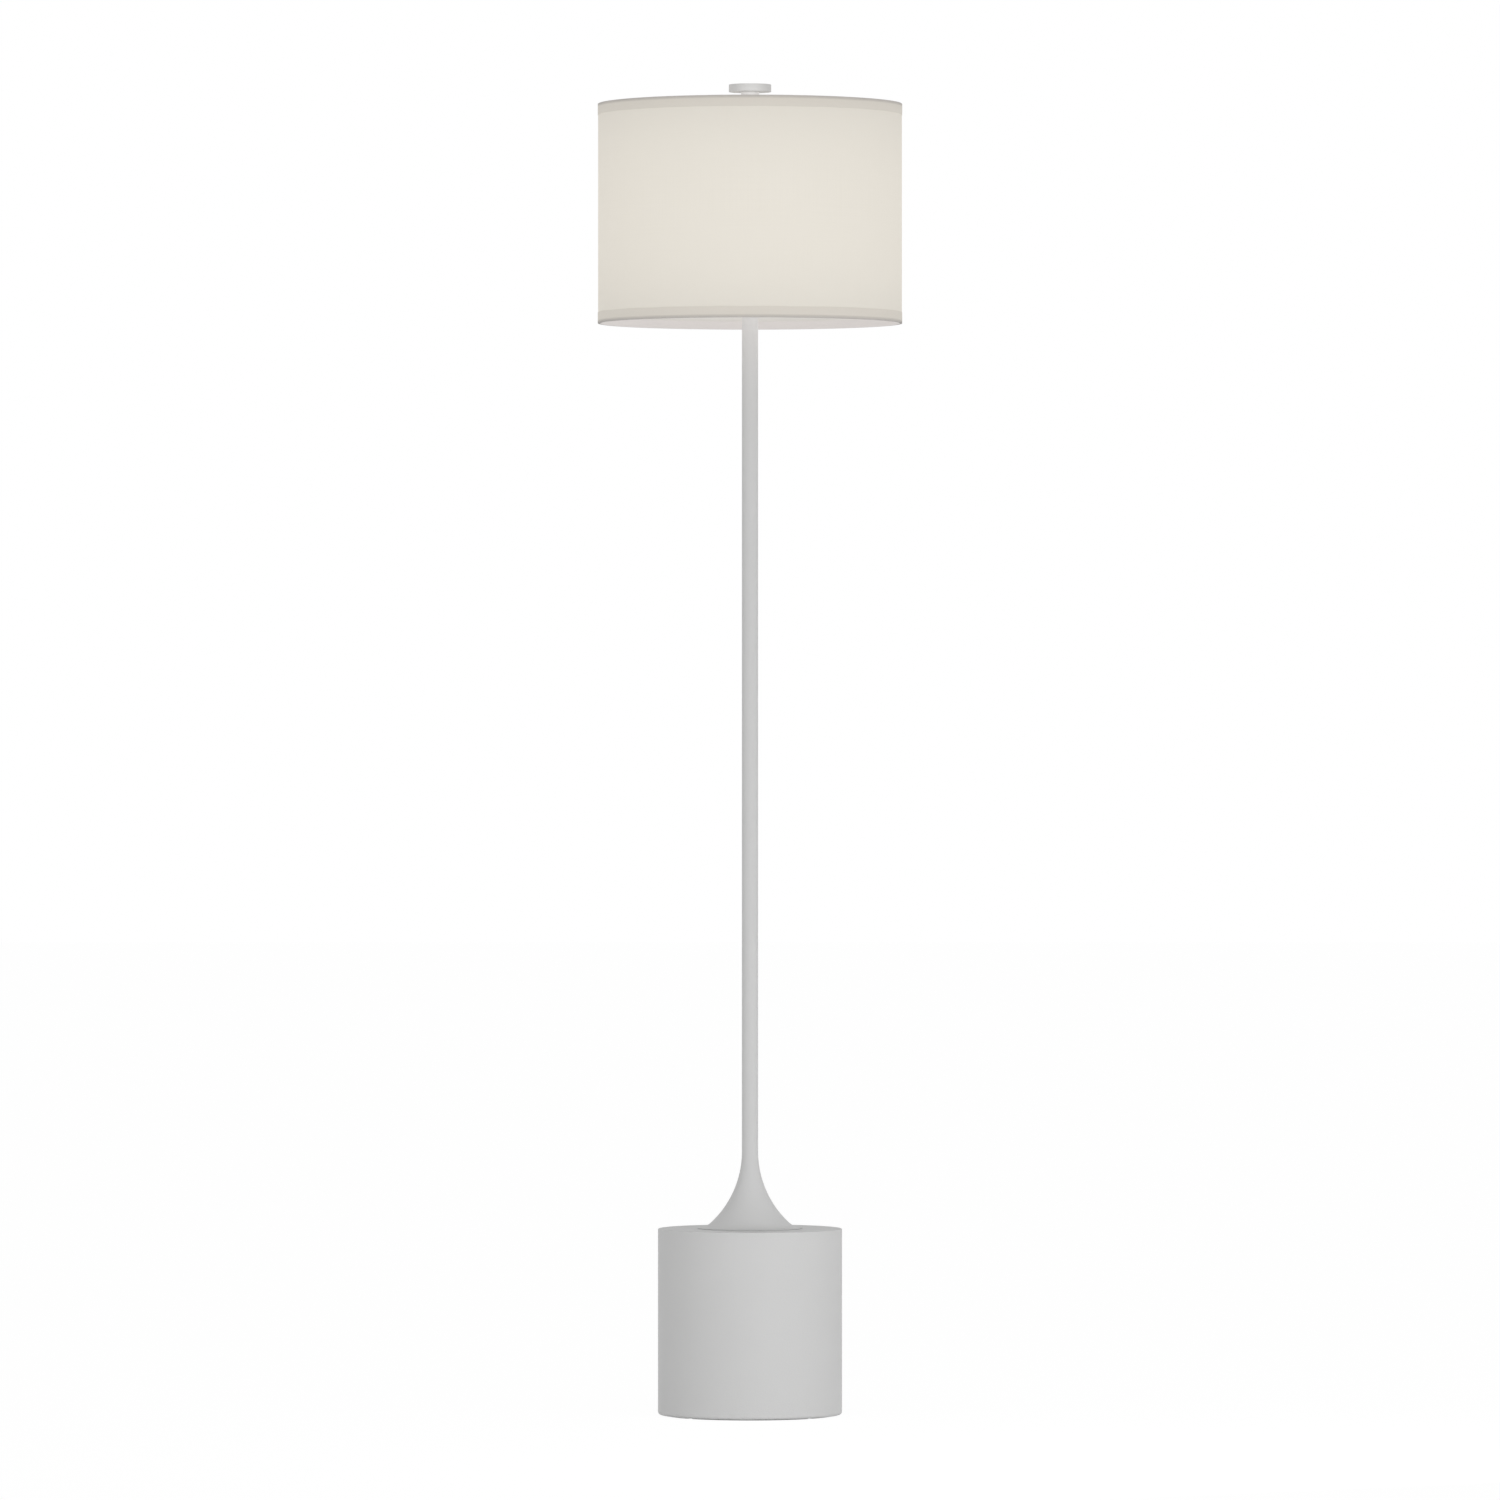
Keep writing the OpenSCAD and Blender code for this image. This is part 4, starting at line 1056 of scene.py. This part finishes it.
eye = turned("eye", rounded([
    (EYE_BORE, eye_z - WIRE_R, 0.2), (EYE_R, eye_z - WIRE_R, 0.6),
    (EYE_R, eye_z + WIRE_R, 0.6), (EYE_BORE, eye_z + WIRE_R, 0.2)]), steps=64)
punch = start(bpy.ops.mesh.primitive_cylinder_add, "punch", vertices=64,
              radius=EYE_BORE * MM, depth=CUT, location=(0, 0, eye_z * MM))
bore(wire, punch)
seat(joined("harp_wire", [wire, eye]), "nickel", "harp", "harp_frame")

# %% [markdown]
# ## Ferrules
# A small sleeve slides down each leg and locks it to the saddle. It is a tube with a bead at
# each end. The right one is a copy of the left one with its own mesh.

# %% Model the ferrules
SLEEVE_BORE, SLEEVE_NECK = 3.2, 3.75
low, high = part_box("left_sleeve")
sleeve_r, sleeve_low, sleeve_top = (high.x - low.x) / 2 / MM, low.z / MM, high.z / MM

outline = rounded([
    (SLEEVE_BORE, sleeve_low, 0.1), (sleeve_r, sleeve_low, 0.35),
    (sleeve_r, sleeve_low + 2.4, 0.35), (SLEEVE_NECK, sleeve_low + 3.0, 0.3),
    (SLEEVE_NECK, sleeve_top - 1.8, 0.3), (sleeve_r, sleeve_top - 1.4, 0.3),
    (sleeve_r, sleeve_top, 0.35), (SLEEVE_BORE, sleeve_top, 0.1)])
left = turned("ferrule_left", outline, steps=64)
right = left.copy()
right.data = left.data.copy()
right.name = right.data.name = "ferrule_right"
bpy.context.scene.collection.objects.link(right)
left.location.x = (low.x + high.x) / 2
right.location.x = -left.location.x
seat(left, "nickel", "sleeve_left", "left_sleeve")
seat(right, "nickel", "sleeve_right", "right_sleeve")

# %% [markdown]
# ## The threaded stud
# The stud turns in the harp's eye. The shade's washer rests on its flange, and the finial
# screws down over its thread.

# %% Model the stud
STUD_HEAD, HEAD_T, STUD_SHANK, STUD_R, STUD_END = 3.6, 1.2, 2.2, 3.15, 0.5
FLANGE_LOW, FLANGE_TOP = 1522.05, 1524.05
STUD_PITCH, STUD_THREAD, ROW = 0.94, 0.35, 0.16  # ROW is from one row of vertices to the next
flange_r, stud_low, stud_top = size_of("harp_stud")
stud_rows = int((stud_top - STUD_END - FLANGE_TOP) / ROW)
stud_z = [FLANGE_TOP + ROW * k for k in range(stud_rows + 1)]

section = rounded([
    (0, stud_low, 0), (STUD_HEAD, stud_low, 0.4), (STUD_HEAD, stud_low + HEAD_T, 0.15),
    (STUD_SHANK, stud_low + HEAD_T, 0), (STUD_SHANK, FLANGE_LOW, 0), (flange_r, FLANGE_LOW, 0.4),
    (flange_r, FLANGE_TOP, 0.4), (STUD_R, FLANGE_TOP, 0)])
section += [(STUD_R, z) for z in stud_z[1:]] + [(STUD_R - STUD_END, stud_top), (0, stud_top)]
stud = turned("threaded_stud", section, steps=64, closed=False)
thread(stud, STUD_R, STUD_THREAD, STUD_PITCH, stud_z[0] + 0.4, stud_z[-1] + 0.6)
seat(stud, "nickel", "stud", "harp_stud")

# %% [markdown]
# ## The spider
# Three white wire arms rise from a stamped washer to the shade's top ring. An arm's inner end
# is flattened where it is welded under the washer. One arm is modelled and copied round.

# %% Model the spider
WASHER_R, WASHER_BORE, WASHER_T = 13.0, 3.45, 1.5
ARMS, ARM_R, ARM_IN, PRESSED = 3, 1.6, 11.5, 9  # an arm is pressed flat in its first PRESSED mm
ring_low, ring_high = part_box("top_ring")
washer_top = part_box("finial")[0].z / MM
washer_low = washer_top - WASHER_T
arm_from = Vector((ARM_IN, washer_low + WASHER_T / 2))
arm_to = Vector((ring_high.x / MM - ARM_R, (ring_low.z + ring_high.z) / 2 / MM))
arm_way = (arm_to - arm_from).normalized()
arm_length = (arm_to - arm_from).length - ARM_R * 0.7
middle = arm_from + arm_way * arm_length / 2

arm = start(bpy.ops.mesh.primitive_cylinder_add, "arm", vertices=24, radius=ARM_R * MM,
            depth=arm_length * MM)
with editing(arm):
    pick_edges(arm, lambda a, b: abs(a.z - b.z) > MM)
    bpy.ops.mesh.subdivide(number_cuts=39)
for vertex in arm.data.vertices:
    pressed = held(2 - 2 * (vertex.co.z / MM + arm_length / 2) / PRESSED)
    vertex.co.x *= 1 - 0.5 * pressed
    vertex.co.y *= 1 + 0.5 * pressed
arm.rotation_euler.y = math.atan2(arm_way.x, arm_way.y)
arm.location = (middle.x * MM, 0, middle.y * MM)
bpy.ops.object.transform_apply(location=True, rotation=True, scale=False)
arms = ring_of("arms", arm, ARMS, math.pi / 2)
washer = turned("washer", rounded([
    (WASHER_BORE, washer_low, 0.2), (WASHER_R, washer_low, 0.4),
    (WASHER_R, washer_top, 0.4), (WASHER_BORE, washer_top, 0.2)]))
seat(joined("shade_spider", [washer, arms]), "white_wire", "shade", "spider")

# %% [markdown]
# ## The leads in the column
# Two insulated leads run from the socket down the lamp pipe and back under the ballast to
# their splices. They are held all the way and hidden, so each is a round tube along its route.

# %% Model the leads
LEAD_R, LEAD_X = 1.25, 1.35  # LEAD_X is from the lamp's axis to a lead's
LEAD_LOW, BEND_R = 8.7, 4  # the run under the ballast, and the bend into it


def lead(name, side, slot, node):
    """A tube along a lead's route; side is 1 or -1."""
    ways = [math.radians(180 + 15 * k) for k in range(7)]
    bend = [(LEAD_X, BEND_R + BEND_R * math.cos(way), LEAD_LOW + BEND_R + BEND_R * math.sin(way))
            for way in ways]
    route = [(12.2, 0, 1336.8), (12.2, 0, 1333.3), (10.6, 0, 1331.7), (4, 0, 1331.7),
             (2, 0, 1330.9), (LEAD_X, 0, 1326.9), (LEAD_X, 0, 900), (LEAD_X, 0, 450),
             (LEAD_X, 0, 13.2), *bend, (LEAD_X, 12, LEAD_LOW), (3.6, 30, LEAD_LOW),
             (3.6, 73.9, LEAD_LOW)]
    curve = start(bpy.ops.curve.primitive_bezier_curve_add, name)
    points = curve.data.splines[0].bezier_points
    points.add(len(route) - len(points))
    for point, (x, y, z) in zip(points, route):
        point.co = (side * x * MM, y * MM, z * MM)
        point.handle_left_type = point.handle_right_type = "VECTOR"
    wire = as_wire(curve, LEAD_R, rounds=3, steps=1)
    return seat(wire, slot, "stand", node, angle=60)


lead("live_wire", 1, "black_rubber", "live_lead")
lead("neutral_wire", -1, "white_rubber", "neutral_lead")

# %% [markdown]
# ## Parts that stay as they are
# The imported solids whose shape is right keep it: the drum, collar, column, finial, plate,
# ballast, lamp pipe, rings, liner, socket cup and bulb glass. Each only gets its finish, by the
# name of its slot.

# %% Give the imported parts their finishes
for name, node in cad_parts.items():
    slot = node.data.materials[0].name.split(".")[0]  # without a copy's number
    node.material_slots[0].material = finishes[slot].material
print("finishes in use:", sorted(finishes))
